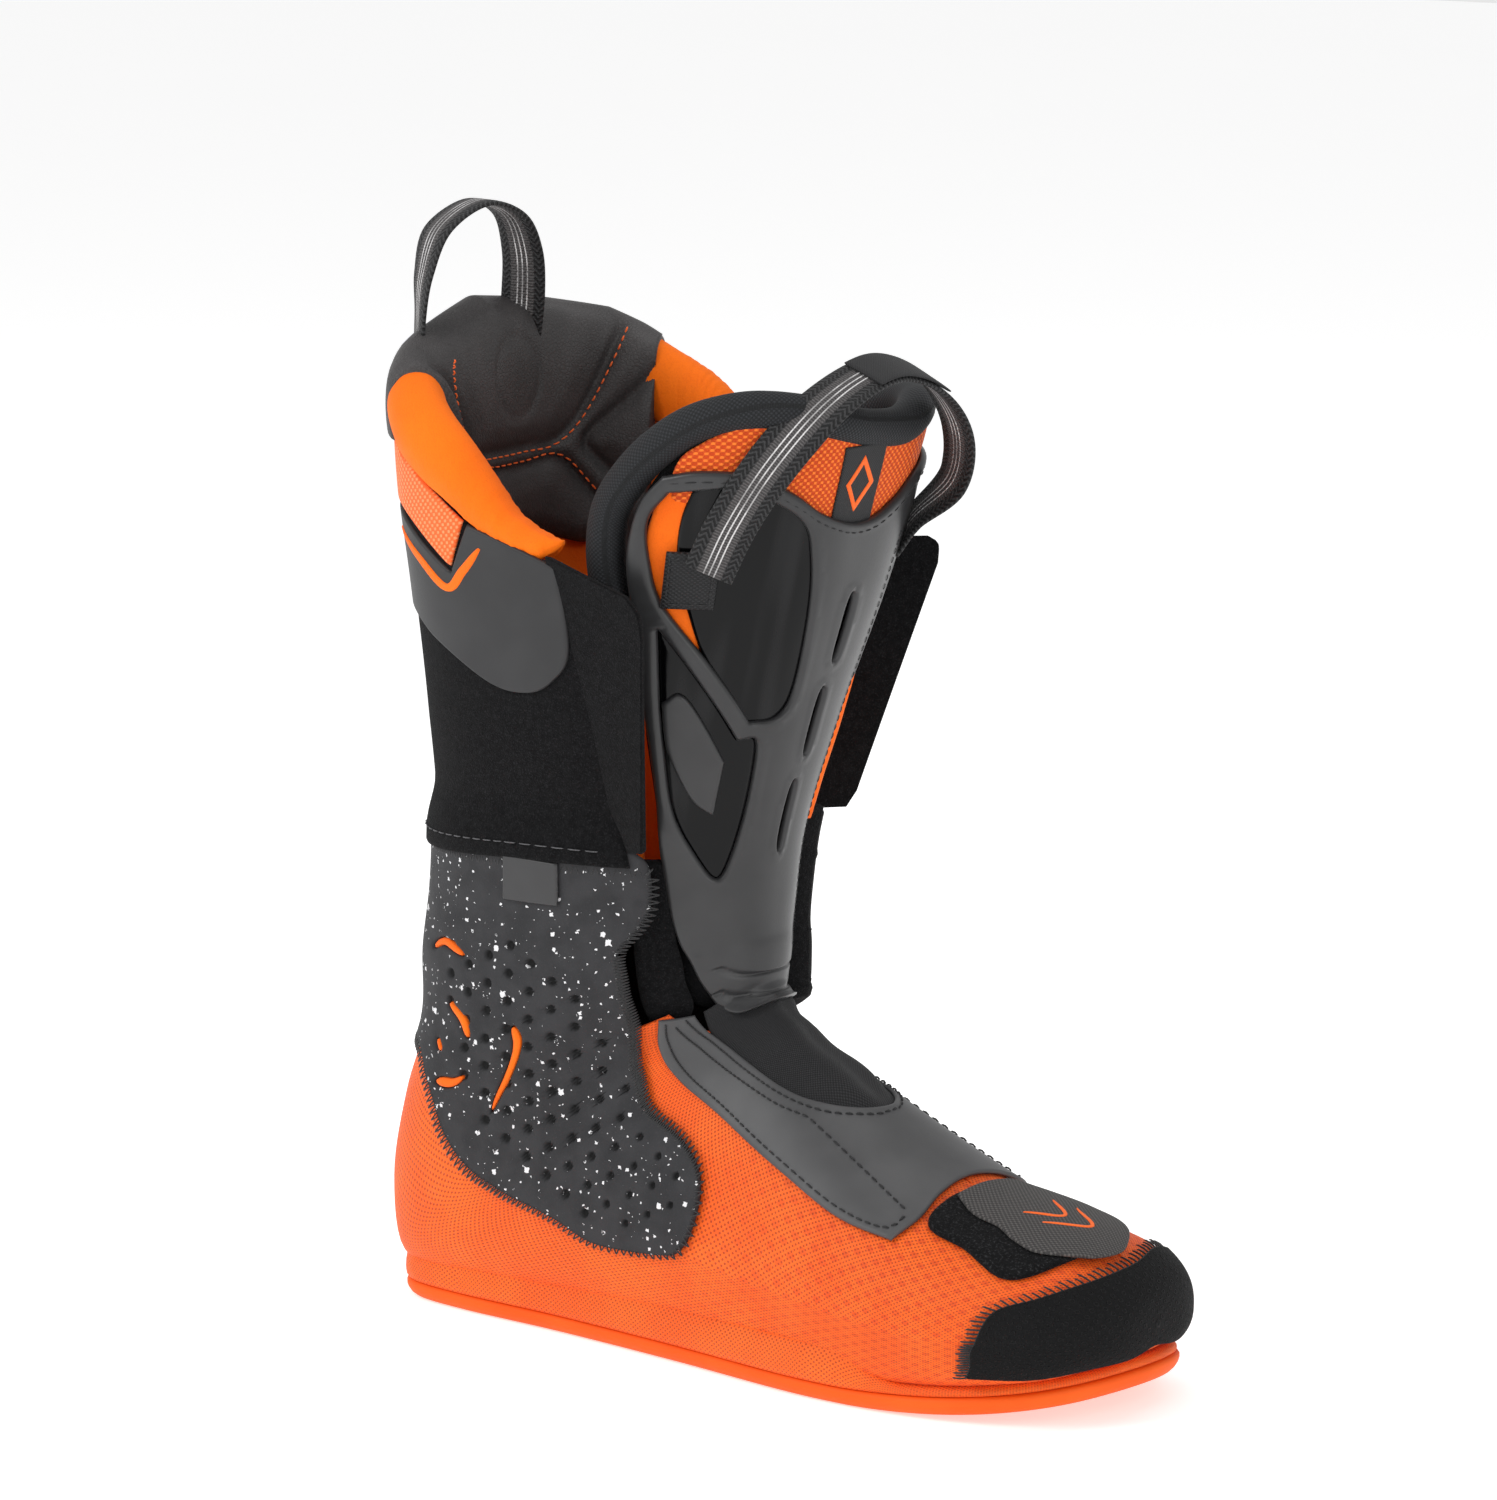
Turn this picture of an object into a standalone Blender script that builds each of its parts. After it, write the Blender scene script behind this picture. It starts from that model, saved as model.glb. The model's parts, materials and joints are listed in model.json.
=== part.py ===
"""Alpine ski boot liner for a right foot.

Frame: +X to the toe, +Y to the inner (medial) side, +Z up. The origin is on the sole's bottom face,
halfway along the foot. Every panel is an outline drawn on one body surface, given as (u, v): u runs in
millimetres from the toe tip back over the instep and up the leg, and v turns round the leg in degrees,
0 at the front or top, +180 at the rear or under the sole by the outer side, and negative on the inner side.
"""
import math

import bpy
import numpy as np
from mathutils import Vector
from mathutils.geometry import delaunay_2d_cdt

MM = 0.001
HEEL_TO_ORIGIN = 143.0          # mm from the rear of the heel to the origin
MM_PER_DEGREE = 0.75            # mean arc length of one degree of v
MESH_STEP = 11.0                # mm between points inside a panel
FOAM_STEP = 9.0                 # the same in the foot's foam
TONGUE_STEP = 8.0               # the same on the tongue, which curves more
EDGE_SHARE = 0.72               # spacing along a panel's edge, as a share of that

# Layers of the liner, in mm outwards from the body surface.
FOAM = (-10.0, -2.3)
UPPER = (-1.1, -0.3)
PANEL = (0.8, 1.9)
OUTER = (2.7, 3.7)
FOOTBED = (-14.0, -10.8)
CALF_PAD = (-14.5, -10.9)
TONGUE_FOAM_LAYER = (-9.0, -3.0)
TONGUE_MESH_LAYER = (-1.7, -0.9)
TONGUE_SHELL_LAYER = (0.7, 2.3)
WINDOW_LAYER = (0.7, 1.8)
TOE_FOAM_SHARE = 0.4            # thickness left at the toe tip

SOLE_TOP = 6.3                  # mm, top of the sole inside its lip
SOLE_LIP = 10.0                 # mm, top of the lip
LIP_WIDTH = 2.4                 # mm
TOE_SPRING_START = 57.0         # mm in front of the origin
TOE_SPRING = 9.5                # mm at TOE_SPRING_LENGTH further on
TOE_SPRING_LENGTH = 83.0

# u, front x, front z, rear x, rear z, widest point (share from the rear), half-width outer side,
# half-width inner side, roundness of the front half, roundness of the rear half (2 is an ellipse).
STATIONS = np.array([
    [0, 283, 30, 283, 27, 0.40, 0.6, 0.6, 2.0, 2.0],
    [19, 281, 39, 281, 20, 0.40, 18.0, 20.0, 2.1, 2.6],
    [31, 276, 45, 276, 17.5, 0.40, 29.0, 31.0, 2.1, 3.2],
    [44, 266, 51, 266, 14, 0.38, 38.0, 39.5, 2.1, 4.5],
    [62, 249, 55, 249, 11, 0.36, 44.5, 44.5, 2.1, 6.0],
    [90, 222, 61, 222, 8, 0.34, 48.5, 47.0, 2.1, 7.0],
    [120, 194, 75, 192, 7.2, 0.32, 47.5, 45.5, 2.0, 7.0],
    [148, 167, 91, 158, 7, 0.30, 43.5, 42.5, 1.9, 5.5],
    [170, 154, 99, 122, 7, 0.31, 40.0, 39.5, 1.9, 4.2],
    [192, 146, 105, 84, 7, 0.34, 38.5, 38.0, 1.9, 3.6],
    [216, 141, 110, 44, 7, 0.38, 38.0, 37.5, 2.0, 3.5],
    [234, 139, 113, 17, 7.5, 0.42, 38.0, 38.0, 2.1, 3.4],
    [248, 138, 117, 4, 13, 0.44, 38.5, 38.5, 2.1, 3.2],
    [264, 138, 120, 0, 36, 0.44, 39.5, 39.5, 2.2, 2.9],
    [284, 138, 124, 6, 66, 0.44, 42.0, 42.0, 2.2, 2.7],
    [306, 138, 129, 14, 94, 0.43, 43.0, 43.0, 2.2, 2.3],
    [326, 138, 134, 16, 118, 0.42, 43.5, 43.5, 2.2, 2.4],
    [342, 139, 142, 19, 138, 0.42, 43.5, 43.5, 2.2, 2.4],
    [360, 141, 160, 21, 160, 0.42, 45.0, 45.0, 2.2, 2.4],
    [400, 151, 200, 21, 200, 0.42, 51.0, 51.0, 2.2, 2.5],
    [440, 162, 240, 19.5, 240, 0.42, 56.5, 56.5, 2.2, 2.7],
    [470, 167, 270, 18, 270, 0.42, 60.0, 60.0, 2.2, 2.9],
    [500, 170, 300, 18, 300, 0.42, 62.0, 62.0, 2.2, 3.0],
    [530, 172, 330, 18, 330, 0.42, 62.0, 62.0, 2.2, 3.0],
    [560, 174, 360, 18, 360, 0.42, 62.0, 62.0, 2.2, 3.0],
])
# u, tongue width as a share of the body's on the outer and inner side, roundness of its inner side.
TONGUE = np.array([
    [200, 0.72, 0.72, 2.0],
    [320, 0.74, 0.74, 2.2],
    [360, 0.79, 0.80, 2.3],
    [400, 0.83, 0.89, 2.5],
    [440, 0.85, 0.96, 2.6],
    [470, 0.85, 0.98, 2.8],
    [530, 0.85, 0.98, 2.8],
])
RIMS = {1: ([76, 86, 91, 102, 112, 129, 150, 180], [459, 464, 469, 481, 491, 503, 514, 524]),
        -1: ([80, 84, 92, 100, 110, 120, 130, 150, 180], [476, 486, 496, 501, 506, 512, 517, 521, 524])}
CUFF_TOP = [(446, 86), (462, 102), (484, 129), (496, 150), (507, 179.6, 1)]
CUFF_TOP_INNER = [(464, 83), (477, 92), (483, 102), (497, 129), (503, 150), (507, 179.6, 1)]

# Sole seen from above, mm from the rear of the heel, outer side negative.
SOLE = [(5, 0), (8, -15), (18, -27), (38, -33), (80, -36), (130, -42), (185, -50), (225, -49),
        (255, -41), (274, -25), (283, 2), (280, 23), (266, 37), (240, 45), (205, 46), (165, 41),
        (120, 37), (80, 34), (38, 33), (18, 27), (8, 15)]

# Panel outlines on the outer side as (u, v); a third value of 1 marks a sharp corner.
# The foot's foam is in slices from the toe to the ankle, each a simple curved piece.
FOOT_FOAM = {
    "toe": [(2, 0.4, 1), (64, 0.4, 1), (64, 90), (64, 179.6, 1), (2, 179.6, 1)],
    "ball": [(64.4, 0.4, 1), (128, 0.4, 1), (128, 90), (128, 179.6, 1), (64.4, 179.6, 1), (64.4, 90)],
    "instep": [(128.4, 0.4, 1), (196, 0.4, 1), (196, 90), (196, 179.6, 1), (128.4, 179.6, 1), (128.4, 90)],
    "heel": [(196.4, 0.4, 1), (200, 0.4, 1), (214, 20), (236, 38), (262, 50, 1), (262, 110),
             (262, 179.6, 1), (196.4, 179.6, 1), (196.4, 90)],
    "ankle": [(262.4, 50, 1), (290, 57), (322, 59), (341.7, 57, 1), (341.7, 120), (341.7, 179.6, 1),
              (262.4, 179.6, 1), (262.4, 110)],
}
CUFF_FOAM_FRONT = [(342.3, 57, 1), (360, 58), (397, 69), (429, 75), (441, 78, 1)]
CUFF_FOAM_REAR = [(420, 179.6), (342.3, 179.6, 1)]
KNIT = [(2, 0.4, 1), (60, 0.4), (186, 0.4, 1), (204, 20), (236, 34), (264, 44), (290, 47), (312, 53),
        (330, 70, 1), (330, 120), (330, 179.6, 1), (180, 179.6), (2, 179.6, 1)]
ANKLE_PANEL = [(358, 179.6, 1), (358, 136), (361, 75), (362, 54, 1), (357, 49), (345, 48), (333, 52),
               (322, 56), (297, 55), (265, 52), (230, 54), (209, 58), (185, 60), (171, 67), (167, 81),
               (172, 92), (192, 101), (211, 97), (241, 99), (262, 108), (283, 119), (297, 135),
               (303, 179.6, 1)]
CUFF_WRAP_LOW = [(360, 179.6, 1), (360, 136), (363, 87), (362, 57, 1), (397, 67), (429, 73), (441, 76, 1)]
CUFF_FILM = [(443, 77, 1), (426, 73.5), (416, 77), (411, 84), (413, 97), (424, 119), (433, 140),
             (437, 179.6, 1), (466, 179.6, 1), (466, 150), (462, 133), (446, 111, 1), (449, 96),
             (448, 86)]
CUFF_MESH = [(449, 110, 1), (464, 130), (469, 150), (469, 179.6, 1), (501, 179.6, 1), (490, 150),
             (481, 129), (463, 104, 1)]
CUFF_MESH_INNER = [(449, 110, 1), (464, 130), (469, 150), (469, 179.6, 1), (501, 179.6, 1), (497, 150),
                   (493, 129), (479, 106, 1)]
TOE_CAP = [(12, 180), (17, 150), (29, 133), (46, 127), (66, 123, 1), (64, 97), (59, 72), (46, 58), (34, 29),
           (32, 0), (38, -30), (46, -58), (60, -75), (66, -100), (68, -123, 1), (46, -127), (29, -133),
           (17, -150)]
LOOP_PATCH = [(92, 36), (94, 21), (92, 0), (94, -21), (92, -36), (77, -40), (61, -47), (49, -42),
              (44, -22), (43, 0), (45, 26), (52, 45), (61, 50), (77, 40)]
OVERLAY = [(263, 45, 1), (252, 37, 1), (200, 33), (158, 31), (139, 25), (128, 10), (127, -8), (138, -26),
           (158, -32), (200, -34), (252, -38, 1), (263, -45, 1), (238, -46), (204, -47), (178, -48),
           (145, -52), (120, -54), (100, -50, 1), (96, -35), (97, -19), (98, 0), (97, 19), (96, 35),
           (100, 50, 1), (120, 54), (145, 52), (178, 48), (204, 47), (238, 46)]
GUSSET = [(228, 26, 1), (200, 31), (158, 29), (141, 23), (130, 9), (129, -7), (140, -24), (158, -30),
          (200, -32), (228, -27, 1), (231, 0)]
TOE_TAB = [(90, 20, 1), (91, 0), (90, -20, 1), (77, -31), (62, -34), (48, -30), (40, -14), (38, 0),
           (40, 22), (53, 34), (66, 30), (74, 26), (82, 25)]
THROAT_GUSSET = [(358, 54, 1), (330, 50), (300, 49), (272, 44, 1), (290, 41), (320, 43), (358, 47, 1)]
SIZE_LABEL = [(356, 90, 1), (356, 75, 1), (344, 75, 1), (344, 90, 1)]
FOOTBED_OUTLINE = [(34, 146), (60, 140), (100, 139), (150, 140), (190, 142), (214, 150), (219, 180),
                   (214, 210), (190, 218), (150, 220), (100, 221), (60, 220), (34, 214), (27, 180)]
CALF_PAD_OUTLINE = [(446, 150, 1), (457, 180), (446, 210, 1), (434, 212), (392, 190), (384, 180),
                    (392, 170), (434, 148)]

# Outlines on the tongue's surface, whole width.
TONGUE_FOAM = [(241, 0), (256, -30), (286, -42), (330, -46), (365, -50), (400, -55), (436, -56),
               (462, -54), (476, -44), (485, -25), (489, 0), (485, 25), (476, 44), (462, 54),
               (436, 56), (400, 55),
               (365, 50), (330, 46), (286, 42), (256, 30)]
TONGUE_SHELL = [(244, 0), (258, -26), (286, -37), (330, -42), (365, -46), (400, -52), (440, -57),
                (462, -53, 1), (464, -40), (463, -24), (460, -10), (459, 0), (460, 10), (465, 24),
                (468, 40), (466, 53, 1), (440, 57), (400, 52), (365, 46), (330, 42), (286, 37), (258, 26)]
TONGUE_MESH = [(454, 0), (457, -30), (457, -50, 1), (464, -50), (476, -38), (484, -22), (487, 0),
               (484, 22), (476, 38), (464, 50), (457, 50, 1), (457, 30)]
WINDOW_UPPER = [(452, 48, 1), (447, 16, 1), (420, 20), (392, 25, 1), (408, 38), (436, 49, 1)]
WINDOW_LOWER = [(396, 45, 1), (380, 28, 1), (350, 25, 1), (350, 30), (372, 42, 1)]
SLOTS = [((441, 4), (417, 4)), ((411, 4), (386, 4)), ((380, 4), (356, 4))]
SLOT_HALF_WIDTH = 2.0           # degrees
TONGUE_TAG = [(464, 8, 1), (464, -8, 1), (484, -8, 1), (484, 8, 1)]
TONGUE_WING = [(352, 54, 1), (400, 60), (431, 63, 1), (431, 69, 1), (400, 64), (352, 57, 1)]
STRAP_PATCH = [(440, 42, 1), (440, 54, 1), (454, 54, 1), (454, 42, 1)]
BINDING_PATH = [(444, 64), (462, 65), (478, 60), (490, 48), (498, 28), (501, 0), (498, -28),
                (490, -48), (478, -60), (462, -65), (444, -64)]
BINDING_RADIUS = 5.5
BINDING_DEPTH = -4.5
COLLAR_RADIUS = 7.4
COLLAR_DEPTH = -5.8
COLLAR_BELOW_RIM = 7.0
COLLAR_SPANS = {1: (78.0, 131.0), -1: (83.0, 111.0)}   # degrees, by side
SPOILER_SPAN = (136.5, 243.0)
# Spoiler section: mm from the rim (up positive), mm outwards.
SPOILER_SECTION = [(-22, 2.3), (-22, 3.4), (-8, 3.8), (-1, 1.5), (2, -3), (1.5, -9), (-6, -13.5),
                   (-22, -15.5), (-45, -15.5), (-60, -14.0), (-60, -10.9), (-14, -10.9), (-14, 2.3)]

# Flaps: seam top, seam bottom, free bottom, free top, in mm from the rear of the heel.
LATERAL_FLAP = [(102, -57.5, 248), (115, -40.5, 165), (122, -43, 165), (135, -60, 238)]
MEDIAL_FLAP = [(102, 57.5, 248), (115, 40.5, 165), (124, 52, 167), (141, 82, 248)]
FLAP_THICKNESS = 2.4
FLAP_OUTLINE = [(0, 0, 1), (0, 1, 1), (0.5, 1), (0.86, 1, 1), (0.95, 0.95), (1, 0.8, 1), (1, 0, 1)]
FLAP_CHART = (88.0, 32.0)       # mm, used only to space the mesh

REAR_LOOP = [(26, -27, 321.5), (24, -28, 334), (25, -22, 349), (28, -5, 357), (30, 11, 352),
             (31, 18, 340), (31, 18, 325.5)]
REAR_LOOP_WIDTHS = [(1, 0.1, 0), (1, 0.0, 0), (1, -0.2, 0), (1, -0.3, 0), (1, -0.2, 0), (1, 0.1, 0),
                    (1, 0.2, 0)]
REAR_WEBBING = (14.0, 1.8)      # mm wide, mm thick
TONGUE_LOOP = [(146, -40.5, 256), (152, -38, 268), (164, -34, 286), (174.5, -23, 303),
               (178, -4, 312), (179, 14, 313.5), (183, 32, 306), (186, 43, 291), (181, 48, 275),
               (162.5, 43.5, 261)]
TONGUE_LOOP_WIDTHS = [(0.7, 0.65, -0.25), (0.72, 0.62, -0.3), (0.78, 0.5, -0.35), (0.88, 0.25, -0.38),
                      (0.91, -0.05, -0.38), (0.91, -0.15, -0.37), (0.91, -0.15, -0.37),
                      (0.9, -0.2, -0.35), (0.88, -0.4, -0.3), (0.75, -0.62, -0.15)]
TONGUE_WEBBING = (18.0, 1.8)
STRAP_LABEL_SPAN = (4, 6)       # points of the tongue loop between which the label is sewn


def sheet_rows(u, table):
    """Smoothly interpolate the columns of a table at u."""
    keys, rows = table[:, 0], table[:, 1:]
    steps = np.diff(keys)[:, None]
    slopes = np.diff(rows, axis=0) / steps
    tangents = np.vstack([slopes[:1], np.zeros_like(slopes[1:]), slopes[-1:]])
    tangents[1:-1] = (slopes[:-1] * steps[1:] + slopes[1:] * steps[:-1]) / (steps[:-1] + steps[1:])
    index = np.clip(np.searchsorted(keys, u) - 1, 0, len(keys) - 2)
    span = steps[index]
    t = ((u - keys[index]) / span[..., 0])[..., None]
    start = (2 * t ** 3 - 3 * t ** 2 + 1) * rows[index] + (t ** 3 - 2 * t ** 2 + t) * span * tangents[index]
    end = (3 * t ** 2 - 2 * t ** 3) * rows[index + 1] + (t ** 3 - t ** 2) * span * tangents[index + 1]
    return start + end


def ring_points(u, v, on_tongue=False, inset=0.0):
    """Points of the body or tongue surface in mm, with each ring shrunk by inset."""
    row = sheet_rows(u, STATIONS)
    front = row[..., 0:2]
    rear = row[..., 2:4]
    along = front - rear
    length = np.linalg.norm(along, axis=-1)
    along = along / length[..., None]
    widest = row[..., 4] * length
    cosine, sine = np.cos(np.radians(v)), np.sin(np.radians(v))
    reach = np.where(cosine >= 0, length - widest, widest) - inset
    side = np.where(sine >= 0, row[..., 5], row[..., 6])
    power = np.where(cosine >= 0, row[..., 7], row[..., 8])
    if on_tongue:
        shape = sheet_rows(u, TONGUE)
        side = side * np.where(sine >= 0, shape[..., 0], shape[..., 1])
        power = np.where(sine >= 0, power, shape[..., 2])
    reach, side = np.maximum(reach, 0.3), np.maximum(side - inset, 0.3)
    size = (np.abs(cosine) ** power + np.abs(sine) ** power) ** (-1.0 / power)
    centre = rear + along * widest[..., None]
    in_plane = centre + along * (reach * size * cosine)[..., None]
    return np.stack([in_plane[..., 0], -side * size * sine, in_plane[..., 1]], axis=-1)


def ring_normals(u, v, on_tongue=False):
    """Outward unit normals of the surface; straight ahead at the toe tip."""
    ahead_of_tip = np.maximum(u, 3.0)
    along_u = ring_points(ahead_of_tip + 0.5, v, on_tongue) - ring_points(ahead_of_tip - 0.5, v, on_tongue)
    along_v = ring_points(ahead_of_tip, v + 0.5, on_tongue) - ring_points(ahead_of_tip, v - 0.5, on_tongue)
    normal = np.cross(along_u, along_v)
    normal /= np.linalg.norm(normal, axis=-1, keepdims=True)
    share = np.clip(u / 6.0, 0.0, 1.0)[..., None]
    normal = normal * share + np.array([1.0, 0.0, 0.0]) * (1 - share)
    return normal / np.linalg.norm(normal, axis=-1, keepdims=True)


def at_depth(u, v, depth, on_tongue=False):
    """Points a given distance outwards from the surface. Deep ones shrink the rings, so nothing folds."""
    u, v = np.asarray(u, float), np.asarray(v, float)
    if depth > -3.0:
        return ring_points(u, v, on_tongue) + ring_normals(u, v, on_tongue) * depth
    ease = np.clip((u - 10.0) / 50.0, 0.0, 1.0)[..., None]
    depths = depth * (TOE_FOAM_SHARE + (1 - TOE_FOAM_SHARE) * ease * ease * (3 - 2 * ease))
    along_normal = ring_points(u, v, on_tongue) + ring_normals(u, v, on_tongue) * depths
    shrunk = ring_points(u, v, on_tongue, -depths[..., 0])
    share = np.clip((u - 24.0) / 26.0, 0.0, 1.0)[..., None]
    share = share * share * (3 - 2 * share)
    return along_normal * (1 - share) + shrunk * share


def body_surface(points, depth):
    """Chart of most panels: u in mm, v scaled to mm."""
    return at_depth(points[:, 0], points[:, 1] / MM_PER_DEGREE, depth)


def toe_surface(points, depth):
    """Chart of a panel over the toe tip: u is the distance from the middle, v the angle."""
    u = np.hypot(points[:, 0], points[:, 1])
    v = np.degrees(np.arctan2(points[:, 1], points[:, 0]))
    return at_depth(u, v, depth)


def tongue_surface(points, depth):
    """Chart of the tongue: as the body, but narrower."""
    return at_depth(points[:, 0], points[:, 1] / MM_PER_DEGREE, depth, True)


def flap_surface(corners):
    """Chart of a flap: a four-cornered patch, x along its seam and y across it."""
    seam_top, seam_low, free_low, free_top = [np.array(corner, float) for corner in corners]

    def place(points, depth):
        along = (points[:, 0] / FLAP_CHART[0])[:, None]
        across = (points[:, 1] / FLAP_CHART[1])[:, None]
        seam = seam_low + (seam_top - seam_low) * along
        free = free_low + (free_top - free_low) * along
        place_here = seam + (free - seam) * across
        up = (seam_top - seam_low) * (1 - across) + (free_top - free_low) * across
        normal = np.cross(up, free - seam)
        normal /= np.linalg.norm(normal, axis=1, keepdims=True)
        return place_here + normal * depth
    return place


def chart_points(outline):
    """Turn (u, v, corner) rows into chart millimetres and corner flags."""
    points = [np.array([row[0], row[1] * MM_PER_DEGREE]) for row in outline]
    corners = [len(row) > 2 for row in outline]
    return points, corners


def polar_points(outline):
    """Turn (u, v, corner) rows into a flat chart around the toe tip."""
    points = [row[0] * np.array([math.cos(math.radians(row[1])), math.sin(math.radians(row[1]))])
              for row in outline]
    return points, [len(row) > 2 for row in outline]


def rounded_loop(points, corners, step):
    """Closed loop through the points, curved at plain points and sharp at corners."""
    loop = []
    count = len(points)
    for i in range(count):
        before, here, there, after = (points[(i + k) % count] for k in (-1, 0, 1, 2))
        length = np.linalg.norm(there - here)
        start = (there - here) if corners[i] else (there - before) / 2
        end = (there - here) if corners[(i + 1) % count] else (after - here) / 2
        pieces = max(1, round(length / step))
        for k in range(pieces):
            t = k / pieces
            loop.append((2 * t ** 3 - 3 * t ** 2 + 1) * here + (t ** 3 - 2 * t ** 2 + t) * start
                        + (3 * t ** 2 - 2 * t ** 3) * there + (t ** 3 - t ** 2) * end)
    return np.array(loop)


def signed_area(loop):
    """Twice the area inside a flat loop, positive when it runs anticlockwise."""
    following = np.roll(loop, -1, axis=0)
    return np.sum(loop[:, 0] * following[:, 1] - following[:, 0] * loop[:, 1])


def inside(loop, points):
    """Which points lie inside a closed loop."""
    result = np.zeros(len(points), bool)
    ends = np.roll(loop, -1, axis=0)
    for (ax, ay), (bx, by) in zip(loop, ends):
        if ay == by:
            continue
        crosses = (points[:, 1] < ay) != (points[:, 1] < by)
        result ^= crosses & (points[:, 0] < ax + (points[:, 1] - ay) * (bx - ax) / (by - ay))
    return result


def clearance(loop, points):
    """Distance from each point to the nearest stretch of a loop."""
    starts, ends = loop, np.roll(loop, -1, axis=0)
    spans = ends - starts
    share = ((points[:, None] - starts) * spans).sum(2) / np.maximum((spans ** 2).sum(1), 1e-9)
    nearest = starts + spans * np.clip(share, 0, 1)[..., None]
    return np.linalg.norm(points[:, None] - nearest, axis=2).min(1)


def fill(loops, step=MESH_STEP):
    """Triangulate the first loop less the others. Returns points, triangles and the rim edges."""
    low, high = loops[0].min(0), loops[0].max(0)
    rows = []
    row_height = step * 0.866
    for j in range(int(low[1] // row_height), int(high[1] // row_height) + 1):
        xs = (np.arange(int(low[0] // step) - 1, int(high[0] // step) + 2) + 0.5 * (j % 2)) * step
        rows.append(np.stack([xs, np.full(len(xs), j * row_height)], axis=1))
    grid = np.concatenate(rows)
    keep = inside(loops[0], grid)
    for hole in loops[1:]:
        keep &= ~inside(hole, grid)
    for loop in loops:
        keep &= clearance(loop, grid) > 0.5 * step
    points = np.concatenate(loops + [grid[keep]])
    edges = []
    first = 0
    for loop in loops:
        edges += [(first + i, first + (i + 1) % len(loop)) for i in range(len(loop))]
        first += len(loop)
    result = delaunay_2d_cdt([Vector(p) for p in points], edges, [], 0, 1e-6)
    flat = np.array([list(p) for p in result[0]])
    triangles = np.array(result[2])
    middles = flat[triangles].mean(1)
    keep = inside(loops[0], middles)
    for hole in loops[1:]:
        keep &= ~inside(hole, middles)
    triangles = triangles[keep]
    directed = {(int(t[k]), int(t[(k + 1) % 3])) for t in triangles for k in range(3)}
    rim = [edge for edge in directed if (edge[1], edge[0]) not in directed]
    return flat, triangles, sorted(rim)


def add_object(name, points, faces, material):
    """Make one closed body from points in mm, facing outwards."""
    points = np.asarray(points, float) - np.array([HEEL_TO_ORIGIN, 0.0, 0.0])
    volume = sum(np.dot(points[f[0]], np.cross(points[f[i]], points[f[i + 1]]))
                 for f in faces for i in range(1, len(f) - 1))
    if volume < 0:
        faces = [tuple(reversed(f)) for f in faces]
    mesh = bpy.data.meshes.new(name)
    mesh.from_pydata([tuple(p * MM) for p in points], [], [tuple(int(i) for i in f) for f in faces])
    mesh.materials.append(material)
    mesh.update()
    body = bpy.data.objects.new(name, mesh)
    bpy.context.scene.collection.objects.link(body)
    return body


def panel(name, outline, layer, material, surface=body_surface, chart=chart_points, holes=(),
          step=MESH_STEP):
    """A panel of even thickness: an outline on a surface, closed round its rim."""
    loops = [rounded_loop(*chart(points), step * EDGE_SHARE) for points in [outline, *holes]]
    flat, triangles, rim = fill(loops, step)
    inner, outer = surface(flat, layer[0]), surface(flat, layer[1])
    count = len(flat)
    faces = [(a, b, c) for a, b, c in triangles]
    faces += [(c + count, b + count, a + count) for a, b, c in triangles]
    faces += [(b, a, a + count) for a, b in rim]
    faces += [(b, a + count, b + count) for a, b in rim]
    return add_object(name, np.concatenate([inner, outer]), faces, material)


def mirrored(outline):
    """The same outline on the inner side, listed the same way round."""
    return [(row[0], -row[1], *row[2:]) for row in reversed(outline)]


def smooth_path(points, per_span):
    """A smooth open path through the points."""
    points = [np.array(p, float) for p in points]
    padded = [2 * points[0] - points[1]] + points + [2 * points[-1] - points[-2]]
    path = []
    for i in range(1, len(padded) - 2):
        before, here, there, after = padded[i - 1:i + 3]
        for k in range(per_span):
            t = k / per_span
            path.append(0.5 * (2 * here + (there - before) * t
                               + (2 * before - 5 * here + 4 * there - after) * t ** 2
                               + (3 * here - before - 3 * there + after) * t ** 3))
    path.append(points[-1])
    return np.array(path)


def swept(name, rings, material):
    """A closed body through rings of equal length, capped with flat fans."""
    count, around = len(rings), len(rings[0])
    points = np.concatenate(rings)
    faces = []
    for i in range(count - 1):
        for k in range(around):
            a, b = i * around + k, i * around + (k + 1) % around
            faces.append((a, b, b + around))
            faces.append((a, b + around, a + around))
    points = np.concatenate([points, [rings[0].mean(0), rings[-1].mean(0)]])
    last = (count - 1) * around
    for k in range(around):
        following = (k + 1) % around
        faces.append((following, k, len(points) - 2))
        faces.append((last + k, last + following, len(points) - 1))
    return add_object(name, points, faces, material)


def roll(name, path, surface, depth, radius, material, around=10):
    """A padded roll that follows (u, v) points on a surface."""
    route = smooth_path([(u, v * MM_PER_DEGREE) for u, v in path], 2)
    centres = surface(route, depth)
    outwards = surface(route, depth + 1.0) - centres
    rings = []
    for i, centre in enumerate(centres):
        ahead = centres[min(i + 1, len(centres) - 1)] - centres[max(i - 1, 0)]
        ahead /= np.linalg.norm(ahead)
        out = outwards[i] - ahead * np.dot(outwards[i], ahead)
        out /= np.linalg.norm(out)
        up = np.cross(ahead, out)
        size = radius * (0.75 if i in (0, len(centres) - 1) else 1.0)
        angles = np.linspace(0, 2 * math.pi, around, endpoint=False)
        rings.append(np.array([centre + size * (math.cos(a) * out + math.sin(a) * up) for a in angles]))
    return swept(name, rings, material)


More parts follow.
